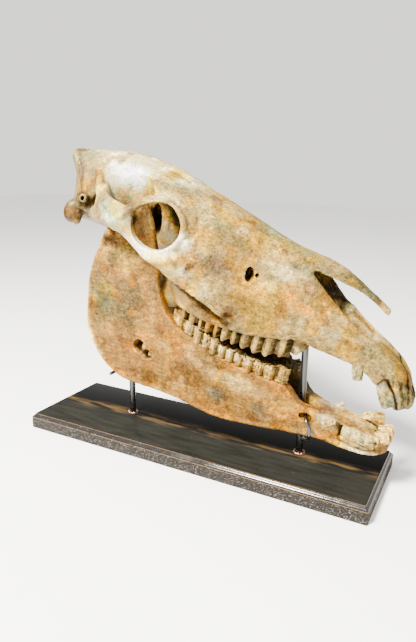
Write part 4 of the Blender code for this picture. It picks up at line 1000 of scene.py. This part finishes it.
FRONT_TONES = [((534, -32, -14), (14, 10, 14), (0.27, 0.25, 0.20)),
               ((528, -36, -4), (9, 10, 7), (0.52, 0.50, 0.42)),
               ((552, -22, -10), (12, 9, 14), (0.16, 0.125, 0.06)),
               # Painted shade over the fronts of the middle incisors and the gap between them
               ((563, 0, -8), (11, 14, 24), (0.07, 0.045, 0.025)),
               ((548, -15, 8), (16, 16, 6), (0.14, 0.10, 0.05)),
               ((548, -18, -27), (26, 30, 4), (0.34, 0.29, 0.18)),
               ([(517, -35, -5), (521, -35, -1), (524, -37, 4), (526, -36, 8),
                 (530, -34, 8)], 1.6, (0.03, 0.02, 0.01)),
               ((541, -33, -2), (4, 6, 4), (0.50, 0.30, 0.10)),
               ([(530, -34, 8), (537, -34, 0), (543, -32, -7), (548, -33, -15),
                 (551, -33, -22)], 2.0, (0.02, 0.012, 0.008)),
               ([(543, -32, -7), (547, -28, 2), (547, -24, 6)], 1.5, (0.03, 0.02, 0.01)),
               ([(552, -13, 4), (556, -14, -4), (560, -15, -14)], 2.2, (0.02, 0.012, 0.008)),
               ([(549, -27, 2), (553, -28, -8), (555, -28, -18)], 1.2, (0.08, 0.055, 0.03)),
               ((495, -25, -2), (10, 10, 14), (0.28, 0.27, 0.17))]


def front_tooth(line, up, around=48, per_span=9):
    """Oval column along a line of (x, y, z, half depth, half width), its broad face towards up. A
    shallow furrow runs down the middle of that face. The rings of CUP (share of the last ring's
    size, mm past it) round the tip over and sink its middle."""
    v, way = follow(line, per_span)
    cup = np.array(CUP)
    past = np.column_stack([v[-1, :3] + cup[:, 1:] * way[-1], cup[:, :1] * v[-1, 3:]])
    v, way = np.concatenate([v, past]), np.concatenate([way, np.repeat(way[-1:], len(cup), 0)])
    side, rise = square_to(way, up)
    u = np.linspace(0, 2 * math.pi, around, endpoint=False)[None, :, None]
    squared = np.sign(np.cos(u)) * np.abs(np.cos(u)) ** 0.8
    depth = np.sin(u) * (1 - 0.12 * bump(u - math.pi / 2, 0.35))
    return skin(v[:, None, :3] + side[:, None] * v[:, 4, None, None] * squared
                + rise[:, None] * v[:, 3, None, None] * depth)


for name, (turn, line) in UPPER_FRONT.items():
    column = front_tooth(line, (math.cos(math.radians(turn)), math.sin(math.radians(turn)), 0))
    for place, shell in (("left", column), ("right", mirrored(column))):
        tooth_piece("upper_" + name + "_" + place, shell, FRONT_TONES, INCISOR_COLOUR, rough=0.5, hollow_shade=2.0)

# ---------------------------------------------------------------------------------------------
# Lower jaw. Two dry bones joined at the chin: each is its side outline held inside a leaning wall
# of its breadths, melted with the joint knuckle, and worked like the cranium. The right front is
# broken away over two bare roots, and a ragged double hollow is sunk in the right angle.
JAW_OUTLINE = [(150, 84), (163, 96), (168, 110), (171, 126), (179, 136), (188, 133), (198, 113),
               (208, 84), (217.5, 50), (220, 29), (228, 8), (235, -6), (246, -17), (262, -27), (280, -33),
               (300, -39), (320, -44), (343, -47), (370, -50), (400, -51), (416, -53), (428, -62),
               (439, -71.5), (455, -74), (480, -74), (510, -73), (536, -73), (551, -77), (558, -85),
               (556, -95), (545, -101), (530, -105), (500, -108.5), (470, -110.5), (440, -116),
               (420, -119.5), (400, -124), (380, -128), (362, -131.5), (344, -134.5), (326, -135),
               (308, -134), (288, -132), (273, -130.5), (258, -130), (243, -130), (229, -131),
               (209, -133.5), (194, -134), (178, -132), (166, -129), (153, -122.5), (141, -114),
               (133, -104.5), (124.5, -93), (118.5, -82), (115.5, -70), (113.5, -54), (113, -32), (113, -10),
               (115.5, 10), (120, 30), (125, 45), (130.5, 62), (138, 80)]
# Half breadths: (x, outer at top, outer at foot, inner at top, inner at foot), and where foot and top lie
JAW_FOOT, JAW_HEIGHT = -125, 200
JAW_BREADTHS = [(108, 86, 58, 75, 46), (130, 85, 59, 74, 46), (160, 81, 59, 73, 46), (210, 75, 57, 65, 44),
                (250, 66, 53, 45, 40), (300, 58, 46, 33, 33), (350, 53, 40, 28, 27), (400, 48, 34, 21, 20),
                (430, 44, 28, 17, 14), (445, 40, 26, 13, 8), (456, 34, 25, 7, 3), (464, 31, 24, -3, -3),
                (482, 28, 22, -3, -3), (500, 29, 21, -3, -3), (520, 33, 21, -3, -3), (538, 31, 19, -3, -3),
                (550, 24, 14, -3, -3), (560, 14, 8, -3, -3)]
KNUCKLE = ((144, 76, 76), (9, 15, 9))
CHIN_HOLE = [(438, 21, -84, 3.5, 3.6), (450, 27, -85, 6, 6.5), (457, 35, -85.5, 7.5, 8.5)]
ANGLE_HOLE = [((206, -64, -72), (9, 9.5, 10)), ((220, -63, -80), (9, 8.5, 7.5))]
HOLE_SCRAPS = [((213, -59, -71), (3.5, 3, 6)), ((224, -58, -78), (3, 3, 4)),
               ((216, -58.5, -84), (3, 2.5, 2))]
# Dents: centre, reach, depth
JAW_DENTS = [((153, -81, 64), 2.6, 3.0), ((320, -50, -70), 10, 1.0), ((240, -60, -40), 26, 1.6),
             ((150, -72, -60), 26, 1.4), ((405, -40, -96), 14, 0.8)]
FRONT_CRACK = [(490, -25, -73), (496, -22, -82), (497, -22, -79), (498, -21, -88), (496, -20, -94),
               (502, -20, -99), (502, -20, -104)]
JAW_CRACK_DEPTH, JAW_CRACK_WIDTH = 2.6, 1.6
JAW_CRACKS = [[(118, -72, -40), (121, -72, -52), (128, -71, -58), (132, -70, -50)], FRONT_CRACK,
              [(250, -62, -96), (282, -58, -101), (305, -54, -100)]]
LOWER_ROOTS = [(266, 11), (296, 10), (321, 10), (348, 10), (376, 11), (407, 13)]
BREAK = ((520, -30, -84), (27, 10, 14))
BREAK_GROOVE = [(502, -24, -97), (516, -25, -99.5), (530, -24, -98), (543, -20, -92)]
RIM_START = JAW_OUTLINE.index((500, -108.5))
JAW_RIM = [(x, 0, z) for x, z in JAW_OUTLINE[RIM_START:]]
JAW_GRAINS = [(0.5, 26, 51), (0.28, 9, 52), (0.12, 3.4, 53)]
JAW_COLOUR = (0.34, 0.17, 0.04)
JAW_TONES = [((140, -71, -20), (24, 24, 50), (0.24, 0.195, 0.10)),
             ((180, -69, -10), (24, 24, 44), (0.22, 0.14, 0.07)),
             ([(112, -70, 10), (111, -68, -40), (118, -66, -84),
               (141, -62, -112)], 7.0, (0.84, 0.52, 0.17)),
             ((155, -75, 50), (36, 24, 26), (0.66, 0.35, 0.06)),
             ((300, -45, -100), (110, 24, 34), (0.30, 0.16, 0.035)),
             ((262, -52, -62), (60, 20, 16), (0.46, 0.27, 0.085)),
             ((345, -42, -72), (50, 20, 12), (0.56, 0.36, 0.14)),
             ((330, -44, -100), (14, 14, 10), (0.20, 0.17, 0.12)),
             ((395, -38, -98), (18, 14, 12), (0.26, 0.19, 0.10)),
             ((200, -60, -95), (50, 24, 34), (0.33, 0.165, 0.04)),
             ((432, -31, -86), (34, 20, 22), (0.64, 0.34, 0.06)),
             ((440, -28, -106), (30, 20, 9), (0.42, 0.23, 0.07)),
             ((478, -22, -80), (14, 18, 12), (0.72, 0.56, 0.34)),
             ((470, -24, -96), (16, 18, 10), (0.46, 0.28, 0.12)),
             ((520, 4, -76), (36, 24, 9), (0.84, 0.54, 0.18)),
             ((500, 24, -74), (14, 10, 8), (0.80, 0.56, 0.26)),
             ((520, -20, -102), (34, 14, 5), (0.86, 0.68, 0.36)),
             (FRONT_CRACK, 3.0, (0.015, 0.01, 0.005)),
             ([(522, 12, -73), (529, 10, -73), (537, 8, -72)], 3.0, (0.05, 0.03, 0.01)),
             ([(537, -4, -73), (546, -1, -71)], 2.4, (0.06, 0.035, 0.01)),
             (BREAK_GROOVE, 2.2, (0.06, 0.04, 0.02)),
             ([(504, -22, -104), (523, -20, -107), (546, -14, -99)], 4.0, (0.90, 0.72, 0.40)),
             # Painted shade over the inner face of the far (left) ramus
             ((170, 60, -20), (60, 8, 90), (0.06, 0.04, 0.03)),
             # Painted shadow cast by the cheek arch over the upper ramus
             ((153, -80, 68), (24, 24, 15), (0.13, 0.07, 0.02)),
             ((147, -79, 42), (14, 20, 16), (0.19, 0.12, 0.045)),
             ((178, -78, 60), (16, 20, 13), (0.26, 0.155, 0.05)),
             ((192, -60, 110), (16, 40, 26), (0.58, 0.36, 0.12)),
             # Painted shade: a dark gap painted on the coronoid
             ((176, -80, 104), (6, 20, 13), (0.03, 0.02, 0.01)),
             # Painted shadow of the cheek arch on the joint knuckle, and painted shade in the dent below the
             # joint
             ((135, -76, 74), (14, 20, 10), (0.15, 0.08, 0.035)),
             ((153, -81, 62), (7, 10, 6), (0.14, 0.07, 0.03)),
             ((213, -66, -76), (18, 5, 16), (0.56, 0.28, 0.07)),
             # Painted shade inside the double hollow in the right angle
             ((206, -55, -73), (11, 6, 11), (0.02, 0.012, 0.008)),
             ((220, -55, -81), (10, 6, 8.5), (0.02, 0.012, 0.008)),
             ((214, -60, -71), (2.4, 2.4, 4.5), (0.50, 0.38, 0.18)),
             ((225, -59, -79), (2.4, 2.4, 3), (0.50, 0.38, 0.18)),
             ((228, -64, -93), (11, 14, 7), (0.50, 0.21, 0.03)),
             # Painted shade inside the chin hole
             ((456, -28, -86), (8, 7, 8), (0.05, 0.03, 0.015)),
             ((460, -33, -84), (2.5, 3, 4), (0.50, 0.36, 0.16)),
             # Painted shade on the front face of the ramus
             ((215, -60, 20), (12, 20, 40), (0.24, 0.13, 0.045)),
             # Painted shade over the inner face of the far (left) jaw
             ((330, 26, -60), (120, 22, 50), (0.08, 0.05, 0.035)),
             ((420, 22, -80), (30, 18, 30), (0.12, 0.08, 0.05)),
             ((456, 16, -76), (24, 16, 10), (0.34, 0.26, 0.18))]


def plate(outline, low, high):
    """Flat plate with a side outline of (x, z) points, between two values of y."""
    outline = np.array(outline, float)
    level = np.array([low, high])[:, None]
    x, z = (np.broadcast_to(outline[:, k], (2, len(outline))) for k in (0, 1))
    return skin(np.stack([x, np.broadcast_to(level, x.shape), z], -1))


def jaw_wall():
    """Slab between the outer and inner breadths, each a straight line from foot to top at each x."""
    x = np.linspace(106, 560, 140)
    outer_top, outer_foot, inner_top, inner_foot = through(JAW_BREADTHS, x).T
    rings = []
    for z in np.linspace(-140, 150, 24):
        share = (z - JAW_FOOT) / JAW_HEIGHT
        outer = outer_foot + (outer_top - outer_foot) * share
        inner = inner_foot + (inner_top - inner_foot) * share
        ring = np.concatenate([np.column_stack([x, outer]), np.column_stack([x, inner])[::-1]])
        rings.append(np.column_stack([ring, np.full(len(ring), z)]))
    return skin(np.array(rings))


half = make("jaw_half", [plate(rounded(JAW_OUTLINE, 4), -10, 150)])
combine(half, make("wall", [jaw_wall()]), "INTERSECT")
points = surface(half)[0]
shell = (points, [list(face.vertices) for face in half.data.polygons])
discard(half)
jaw = make("jaw", both(shell, lump(*KNUCKLE)))
melt(jaw, COARSE, 6)
for hollow in both(bar(CHIN_HOLE)) + [lump(*hole) for hole in ANGLE_HOLE]:
    combine(jaw, make("hollow", [hollow]), "DIFFERENCE")
combine(jaw, make("scraps", [lump(*scrap) for scrap in HOLE_SCRAPS]), "UNION")
melt(jaw, FINE, 2)

points, normals = surface(jaw)
x, y, z = points.T
lift = uneven(points, JAW_GRAINS)
lift += 0.10 * ripple(points * np.array([0.14, 1, 1]), 2.0, 54)
# Tooth roots show in the sides, and age has dented and cracked them
for root, reach in LOWER_ROOTS:
    lift += 0.9 * bump(x - root, reach * 0.55) * bump(z + 70, 24) * (np.abs(y) > 30)
for centre, reach, depth in JAW_DENTS:
    lift -= depth * blob(points, centre, reach)
for crack in JAW_CRACKS:
    lift -= JAW_CRACK_DEPTH * bump(near_line(points, crack), JAW_CRACK_WIDTH)
# The right front is broken down to a rough hollow, with a groove under the bare roots
broken = blob(points, *BREAK)
lift -= 6.0 * np.clip(broken * 2.0 - 0.4, 0, 1) + 1.4 * broken * ripple(points, 4, 55)
lift -= 2.4 * bump(near_line(points, BREAK_GROOVE), 2.0)
# The foot and the rear swell into a rim, and the hole in the right angle into a lip
from_rim = near_line(np.column_stack([x, 0 * y, z]), JAW_RIM)
lift += 1.5 * bump(from_rim - 4, 3.5) * (np.abs(y) > 30)
flat_places = [(points - centre) * np.array([1, 0, 1]) / np.array(reach) for centre, reach in ANGLE_HOLE]
holes = np.min([np.linalg.norm(place, axis=1) for place in flat_places], 0)
lift += 0.9 * bump(holes - 1.15, 0.18) * (y < -50)
reshape(jaw, points + normals * lift[:, None])

for side, operation in (("left", "INTERSECT"), ("right", "DIFFERENCE")):
    left_half = block("left_half", [(-40, -200), (-40, 240), (660, 240), (660, -200)], 0, FAR)
    piece = add_object("mandible_" + side + "_bone", jaw.data.copy())
    combine(piece, left_half, operation)
    drop_crumbs(piece)
    tint(piece, JAW_COLOUR, JAW_TONES)
    # Painted shade in the hollows and painted light on the ridges
    paint_hollow_shade(piece, 0.9, 6)
    on_stand(piece)
    finish_piece(piece, dry_bone, "bone", "mandible_" + side)
discard(jaw)

# ---------------------------------------------------------------------------------------------
# Lower cheek teeth. Narrower columns than the upper ones, each with two rounded lobes and a deep
# furrow between them on the cheek face, paler ridges and a high cheek edge.
LOWER_TEETH = [("M3", 243, 278.6), ("M2", 279, 304.6), ("M1", 305, 328.6), ("P4", 329, 353.6),
               ("P3", 354, 382.6), ("P2", 383, 414)]
LOWER_OUTER = [(243, 52.5), (283, 53.5), (320, 51), (347, 47.5), (375, 43), (400, 38), (414, 35)]
LOWER_INNER = [(243, 37), (283, 37), (320, 33), (347, 30), (375, 26), (400, 22), (414, 21)]
LOWER_EDGE = [(243, -5), (250, -8), (273, -14), (302, -22), (323, -29), (348, -31), (378, -34), (398, -31),
              (414, -31)]
LEFT_EDGE = [(243, -5), (250, -8), (273, -14), (302, -22), (323, -29), (348, -33), (375, -38), (390, -41),
             (414, -42)]
LOWER_GUM = [(243, -22), (260, -28), (290, -36), (317, -42), (346, -45), (375, -48), (412, -48)]
LOWER_COLOUR = (0.40, 0.27, 0.105)
LOWER_TONES = [((262, -50, -16), (20, 10, 10), (0.64, 0.46, 0.22)),
               ((320, -48, -31), (50, 10, 8), (0.64, 0.46, 0.23)),
               ((370, -44, -36), (24, 12, 6), (0.60, 0.43, 0.20)),
               ((402, -40, -40), (18, 12, 10), (0.42, 0.26, 0.09)),
               ((335, -46, -46), (80, 12, 5), (0.30, 0.16, 0.05)),
               # Painted shade on the inner side of the near row and over the far row, in the gap between the
               # jaws
               ((335, -34, -24), (110, 8, 12), (0.20, 0.12, 0.07)),
               ((350, 26, -34), (110, 24, 40), (0.06, 0.04, 0.03)),
               ((405, 24, -36), (14, 20, 9), (0.24, 0.22, 0.20))]


def lower_ribs(s, v):
    """Cheek face of a lower tooth: two round lobes parted by a deep furrow at s = 0.05, each with a
    pale ridge, over furrows at the ends; the neck above the gum is drawn in."""
    lobes = 1.8 * (bump(s + 0.5, 0.34) + bump(s - 0.55, 0.34))
    ridges = 1.2 * (bump(s + 0.3, 0.08) + bump(s - 0.78, 0.08))
    furrows = 3.6 * bump(s - 0.05, 0.12) + 3.2 * (bump(s + 1, 0.16) + bump(s - 1, 0.14))
    return lobes + ridges - furrows - 1.4 * bump(v - 0.5, 0.12)


for name, start, end in LOWER_TEETH:
    for place, edge in (("left", LEFT_EDGE), ("right", LOWER_EDGE)):
        column = cheek_tooth(start, end, LOWER_GUM, LOWER_OUTER, LOWER_INNER, edge, lower_ribs)
        tooth_piece("lower_" + name + "_" + place, column if place == "left" else mirrored(column),
                    LOWER_TONES, LOWER_COLOUR, rough=0.8, hollow_shade=3.0)

# ---------------------------------------------------------------------------------------------
# Lower front teeth. They lie forward nearly flat. On the right the second and third incisors have
# lost their crowns, so their two fibrous roots lie bare in the broken bone.
CROWN_COLOUR = (0.70, 0.47, 0.17)
# Each tooth: its side, the way of its broad face, line of (x, y, z, half depth, half width)
LOWER_FRONT = {
    "I1": ("both", (0, 0, 1), [(508, 6, -92, 5, 6), (527, 8.2, -86, 7, 7.2), (542, 9.4, -79, 8.4, 7.8),
                               (555, 10, -71, 7.8, 7.8)]),
    "I2": ("left", (0, 0, 1), [(500, 14, -88, 5, 6), (514, 20, -80, 7.5, 7.5), (527, 25, -72, 8.6, 8.6),
                               (539, 28, -69, 8.0, 8.2)]),
    "C": ("left", (0, 1, 0), [(474, 17, -86, 4, 4), (478, 22, -79, 4.5, 4.5), (481, 25, -74, 3.8, 3.8),
                              (484, 26, -70, 2.6, 2.6)]),
    "I2_root": ("right", (0, 0, 1), [(500, 21, -82, 7, 5), (513, 22.5, -82, 9.5, 6), (530, 22.5, -81, 9, 6),
                                     (543, 19, -79, 7, 6)]),
    "I3_root": ("right", (0, 0, 1), [(500, 17, -93, 3.6, 5), (514, 20, -93.5, 4.6, 5.6),
                                     (528, 19, -93, 4.6, 5.6), (540, 16, -90, 4, 5)]),
    "C_root": ("right", (0, 1, 0), [(477, 20, -86, 4.5, 4.5), (482, 24, -79, 4.5, 4.5),
                                    (486, 26, -75.5, 3.8, 3.8)])}
ROOT_TONES = [([(493, -27, -70), (496, -27, -76), (498, -26, -84),
                (496, -22, -93)], 3.0, (0.02, 0.012, 0.006)),
              ([(514, -27, -76), (530, -28, -81), (542, -25, -80)], 1.5, (0.12, 0.10, 0.06)),
              ([(506, -27, -79), (522, -29, -84), (536, -27, -86)], 1.2, (0.18, 0.15, 0.09)),
              ([(541, -19, -73), (544, -25, -79), (543, -26, -86)], 1.8, (0.05, 0.03, 0.01)),
              ((545, -10, -76), (16, 12, 12), (0.86, 0.56, 0.18)),
              ((516, -24, -80), (26, 10, 8), (0.52, 0.46, 0.26)),
              ((528, -26, -92), (12, 10, 6), (0.24, 0.22, 0.18)),
              ((512, -24, -92), (12, 10, 6), (0.42, 0.30, 0.10)),
              ((532, 24, -66), (22, 14, 14), (0.86, 0.55, 0.17)),
              ((548, 8, -72), (16, 12, 12), (0.86, 0.55, 0.17)),
              ((482, 25, -70), (12, 10, 12), (0.52, 0.40, 0.20))]
for name, (side, up, line) in LOWER_FRONT.items():
    column = front_tooth(line, up)
    for place, shell in (("left", column), ("right", mirrored(column))):
        if side in ("both", place):
            tooth_piece("lower_" + name + "_" + place, shell, ROOT_TONES, CROWN_COLOUR, along=0, rough=0.6,
                        hollow_shade=2.6)

# ---------------------------------------------------------------------------------------------
# Plinth. A long black lacquered board: a rough painted foot, a moulded silver-black edge between
# two thin gilt lines, and a glossy top with brown flecks, a painted gold reflection along the line of
# the rods and painted light over its front half.
LENGTH, WIDTH = 530, 160
# Bands of the board from the foot up: rings of (height, inset)
SLABS = {"foot": [(0, 0.4), (0.4, 0), (16.4, 0), (16.9, 0.3)],
         "lower_line": [(16.9, 0.1), (17.0, -0.1), (17.6, -0.1), (17.7, 0.3)],
         "moulding": [(17.7, 0.5), (18.2, 0.8), (19.2, 1.3), (20.2, 2.3), (21.0, 3.4), (21.8, 4.2),
                      (22.6, 4.5)],
         "upper_line": [(22.6, 4.4), (22.7, 4.3), (23.1, 4.3), (23.2, 4.6)],
         "top": [(23.2, 4.7), (23.4, 4.8), (23.5, 5.1)]}


def slab(profile, corner=1.6, steps=6):
    """Slab through rings at each (height, inset): a rectangle whose corners are quarter circles."""
    turn = np.linspace(0, math.pi / 2, steps)
    quarters = ((1, 1, 0), (-1, 1, math.pi / 2), (-1, -1, math.pi), (1, -1, 1.5 * math.pi))
    rings = []
    for height, inset in profile:
        half_x, half_y = LENGTH / 2 - inset - corner, WIDTH / 2 - inset - corner
        rings.append([(sx * half_x + corner * math.cos(angle + start),
                       sy * half_y + corner * math.sin(angle + start), height)
                      for sx, sy, start in quarters for angle in turn])
    return skin(np.array(rings))


def in_metres(obj, lift=0.0):
    """Scales a piece drawn in millimetres over the plinth to metres."""
    reshape(obj, (surface(obj)[0] + np.array([0, 0, lift])) * MM)


def paint_material(name, colour, fleck, rough, metallic=0, share=0.36, scale=160, relief=0.0001,
                   stretch=(1, 1, 1), ior=1.45):
    """Smooth coat with cloudy gloss and flecks of a second colour over a share of it, where a noise
    passes a level."""
    material, shader, connect, new = shader_nodes(name)
    place = new("ShaderNodeTexCoord").outputs["Object"]
    turned = new("ShaderNodeMapping", Vector=place, Scale=stretch)
    spots = new("ShaderNodeTexNoise", Vector=turned.outputs[0], Scale=scale, Detail=5.0, Roughness=0.7)
    cloud = new("ShaderNodeTexNoise", Vector=place, Scale=38.0, Detail=5.0, Roughness=0.6)
    edge = new("ShaderNodeMapRange", Value=spots.outputs["Fac"], From_Min=1 - share, From_Max=1.06 - share)
    blend = new("ShaderNodeMix", {"data_type": "RGBA"}, Factor=edge.outputs[0],
                A=(*colour, 1), B=(*fleck, 1))
    connect(blend.outputs["Result"], "Base Color")
    gloss = new("ShaderNodeMapRange", Value=cloud.outputs["Fac"], From_Min=0.3, From_Max=0.7,
                To_Min=rough[0], To_Max=rough[1])
    connect(gloss.outputs[0], "Roughness")
    bumps = new("ShaderNodeBump", Height=spots.outputs["Fac"], Distance=relief, Strength=0.7)
    connect(bumps.outputs["Normal"], "Normal")
    shader.inputs["Metallic"].default_value = metallic
    shader.inputs["IOR"].default_value = ior
    return material


def paint_reflection_and_lit_front(material):
    """Painted gold reflection on the lacquer along the line of the rods, a band of the width coordinate
    broken up by a noise drawn out along the board, and painted light, a grey lift, over the half in front of
    it."""
    tree = material.node_tree
    new = node_maker(tree)
    shader = tree.nodes["Principled BSDF"]
    coat = shader.inputs["Base Color"].links[0].from_socket
    place = new("ShaderNodeTexCoord").outputs["Object"]
    # Painted reflection: a warm gold band along the line of the rods
    across = new("ShaderNodeSeparateXYZ", i0=place).outputs["Y"]
    away = new("ShaderNodeMath", {"operation": "ABSOLUTE"}, i0=across)
    band = new("ShaderNodeMapRange", Value=away.outputs[0], From_Min=0.016, From_Max=0.002)
    drawn = new("ShaderNodeMapping", Vector=place, Scale=(22, 120, 120))
    noise = new("ShaderNodeTexNoise", Vector=drawn.outputs[0], Scale=1.0, Detail=6.0)
    share = new("ShaderNodeMapRange", Value=noise.outputs["Fac"], From_Min=0.44, From_Max=0.62)
    reflection_share = new("ShaderNodeMath", {"operation": "MULTIPLY"}, i0=band.outputs[0], i1=share.outputs[0])
    with_reflection = new("ShaderNodeMix", {"data_type": "RGBA"}, Factor=reflection_share.outputs[0], A=coat,
                 B=(0.055, 0.032, 0.011, 1))
    # Painted light: a grey lift over the front half of the board
    front = new("ShaderNodeMapRange", Value=across, From_Min=0.004, From_Max=-0.012)
    lit_share = new("ShaderNodeMath", {"operation": "MULTIPLY"}, i0=front.outputs[0], i1=noise.outputs["Fac"])
    with_lit_front = new("ShaderNodeMix", {"data_type": "RGBA", "blend_type": "ADD"}, Factor=lit_share.outputs[0],
               A=with_reflection.outputs["Result"], B=(0.016, 0.0155, 0.012, 1))
    tree.links.new(with_lit_front.outputs["Result"], shader.inputs["Base Color"])


gilt = paint_material("gilt", (0.24, 0.14, 0.06), (0.06, 0.035, 0.02), (0.3, 0.5), metallic=1, share=0.44,
                      scale=220)
PLINTH_COATS = {
    "foot": paint_material("rough black paint", (0.014, 0.012, 0.010), (0.25, 0.225, 0.185), (0.5, 0.8),
                           share=0.42, scale=800, relief=0.0006, stretch=(0.45, 0.45, 1.3), ior=1.15),
    "lower_line": gilt,
    "moulding": paint_material("silvered black", (0.008, 0.0075, 0.007), (0.04, 0.037, 0.033), (0.08, 0.22),
                               share=0.42, scale=260),
    "upper_line": gilt,
    "top": paint_material("black lacquer", (0.0022, 0.0022, 0.002), (0.020, 0.018, 0.013), (0.03, 0.13),
                          relief=0.00005, ior=1.06)}
paint_reflection_and_lit_front(PLINTH_COATS["top"])
for name, profile in SLABS.items():
    piece = make("plinth_" + name, [slab(profile)])
    in_metres(piece)
    finish_piece(piece, PLINTH_COATS[name], "lacquer", *(["plinth"] if name == "foot" else []), sharp=30)

# ---------------------------------------------------------------------------------------------
# Rods, welds, cross bar and hook. Bright drawn steel: two upright rods stand in copper-brown weld
# beads, a thin bar crosses the rear one, and a bent wire hook on the front one carries the jaw.
TOP = 23.5
FRONT_ROD, REAR_ROD = (150, 7.2, 184), (-127, 3, 290)
ROD_RADIUS = 4.75
CROSS_BAR = [(-127, side, 84) for side in (-51, -30, 0, 30, 51)]
HOOK = [(151, 6, 28), (156, 0, 27), (161, -8, 30), (165, -15, 34), (170, -24, 40), (174, -31, 50),
        (173.5, -31, 58), (169.5, -30, 65), (166, -25, 69.5), (163.5, -19, 71)]
BAR_RADIUS, HOOK_RADIUS, WELD_RADIUS, WELD_HEIGHT = 2.4, 2.3, 8.5, 3.2


def wire(line, radius, around=24, per_span=8, up=(0.2, 0.1, 1)):
    """Round wire through points with domed ends: the last rings shrink as a quarter circle."""
    knots = np.array([(*point, radius, radius) for point in line], float)
    shares = (0.98, 0.85, 0.6, 0.25)
    ends = [(radius * math.sqrt(1 - share ** 2), radius * share) for share in shares]
    first, last = knots[0, :3] - knots[1, :3], knots[-1, :3] - knots[-2, :3]
    first, last = first / np.linalg.norm(first), last / np.linalg.norm(last)
    head = [(*(knots[0, :3] + first * out), left, left) for out, left in ends[::-1]]
    tail = [(*(knots[-1, :3] + last * out), left, left) for out, left in ends]
    return bar(head + knots.tolist() + tail, around=around, per_span=per_span, up=up)


def bead(x, y, radius, height, around=72, across=20):
    """Weld bead round a rod: a ring of half-oval section whose size ripples with the angle."""
    turn = np.linspace(0, 2 * math.pi, around, endpoint=False)[:, None]
    v = np.linspace(0, 2 * math.pi, across, endpoint=False)[None, :]
    swell = 1 + 0.12 * np.sin(9 * turn + 1.3) + 0.08 * np.sin(23 * turn)
    middle, half = (ROD_RADIUS + radius) / 2, (radius - ROD_RADIUS) / 2
    ring = middle + half * swell * np.cos(v) * 1.05
    level = np.maximum(height * swell * np.sin(v), -0.4)
    points = np.stack([x + ring * np.cos(turn), y + ring * np.sin(turn), level + 0 * ring], -1)
    i, j = np.meshgrid(np.arange(around), np.arange(across), indexing="ij")
    corner = [(i + a) % around * across + (j + b) % across for a, b in ((0, 0), (1, 0), (1, 1), (0, 1))]
    return points.reshape(-1, 3), np.stack(corner, -1).reshape(-1, 4).tolist()


steel = paint_material("drawn steel", (0.075, 0.074, 0.07), (0.05, 0.045, 0.04), (0.2, 0.4), metallic=1)
copper = paint_material("weld bead", (0.22, 0.13, 0.09), (0.08, 0.05, 0.035), (0.25, 0.5), metallic=1,
                        share=0.42, scale=420, relief=0.0003)
for name, (x, y, top) in (("front", FRONT_ROD), ("rear", REAR_ROD)):
    line = [(x, y, z, ROD_RADIUS, ROD_RADIUS) for z in (0, top / 2, top)]
    rod = make("rod_" + name + "_shaft", [bar(line, around=48, up=(1, 0, 0))])
    in_metres(rod, TOP)
    finish_piece(rod, steel, "rod", "rod_" + name, sharp=40)
    ring = make("weld_" + name + "_bead", [bead(x, y, WELD_RADIUS, WELD_HEIGHT)])
    in_metres(ring, TOP)
    finish_piece(ring, copper, "weld", "weld_" + name, sharp=60)
for name, node, line, radius in (("cross_bar_wire", "cross_bar", CROSS_BAR, BAR_RADIUS),
                                 ("jaw_hook_wire", "jaw_hook", HOOK, HOOK_RADIUS)):
    piece = make(name, [wire(line, radius)])
    in_metres(piece, TOP)
    finish_piece(piece, steel, "rod", node, sharp=60)

# ---------------------------------------------------------------------------------------------
# Floor, light and camera. A pale floor and bright surround as behind the specimen, a broad key
# light from above to the left of the camera, and the camera at the photograph's viewing angle.
# Camera: place in metres; yaw, pitch and roll in degrees; height of the sensor and focal length in mm
EYE, AIM = (0.35807, -0.66556, 0.40107), (27.724, 15.313, 0.780)
SENSOR, FOCAL = 36, 30.95


def camera_matrix(place, yaw, pitch, roll):
    """Camera placed at a point, turned by yaw about Z, then down by pitch, then rolled."""
    forward = Vector((-math.sin(yaw) * math.cos(pitch), math.cos(yaw) * math.cos(pitch), -math.sin(pitch)))
    right = Vector((math.cos(yaw), math.sin(yaw), 0))
    up = right.cross(forward)
    across = right * math.cos(roll) + up * math.sin(roll)
    rise = up * math.cos(roll) - right * math.sin(roll)
    turn = Matrix((across, rise, -forward)).transposed().to_4x4()
    return Matrix.Translation(place) @ turn


lens = bpy.data.cameras.new("camera")
lens.sensor_fit, lens.sensor_height, lens.lens = "VERTICAL", SENSOR, FOCAL
camera = add_object("camera", lens)
camera.matrix_world = camera_matrix(EYE, *map(math.radians, AIM))
bpy.context.scene.camera = camera

floor_mesh = bpy.data.meshes.new("floor")
floor_mesh.from_pydata([(-6, -6, 0), (6, -6, 0), (6, 6, 0), (-6, 6, 0)], [], [(0, 1, 2, 3)])
floor = add_object("floor", floor_mesh)
floor_material, floor_shader, _, _ = shader_nodes("pale floor")
floor_shader.inputs["Base Color"].default_value = (0.88, 0.88, 0.87, 1)
floor_shader.inputs["Roughness"].default_value = 0.8
floor_mesh.materials.append(floor_material)


def area_light(name, place, target, size, watts, colour):
    """Square soft light at a place, facing a target."""
    light = bpy.data.lights.new(name, "AREA")
    light.size, light.energy, light.color = size, watts, colour
    lamp = add_object(name, light)
    lamp.location = place
    lamp.rotation_euler = (Vector(target) - Vector(place)).to_track_quat("-Z", "Y").to_euler()


MIDDLE = (0, 0, 0.25)
area_light("key", (-0.30, -1.15, 1.60), MIDDLE, 0.45, 300, (1.0, 0.97, 0.92))
area_light("fill", (1.4, -0.9, 0.7), MIDDLE, 1.2, 8, (1.0, 0.98, 0.95))
world = bpy.data.worlds.new("studio")
world.use_nodes = True
sky = world.node_tree.nodes["Background"]
sky.inputs["Color"].default_value = (1.0, 0.985, 0.95, 1)
sky.inputs["Strength"].default_value = 1.5
bpy.context.scene.world = world
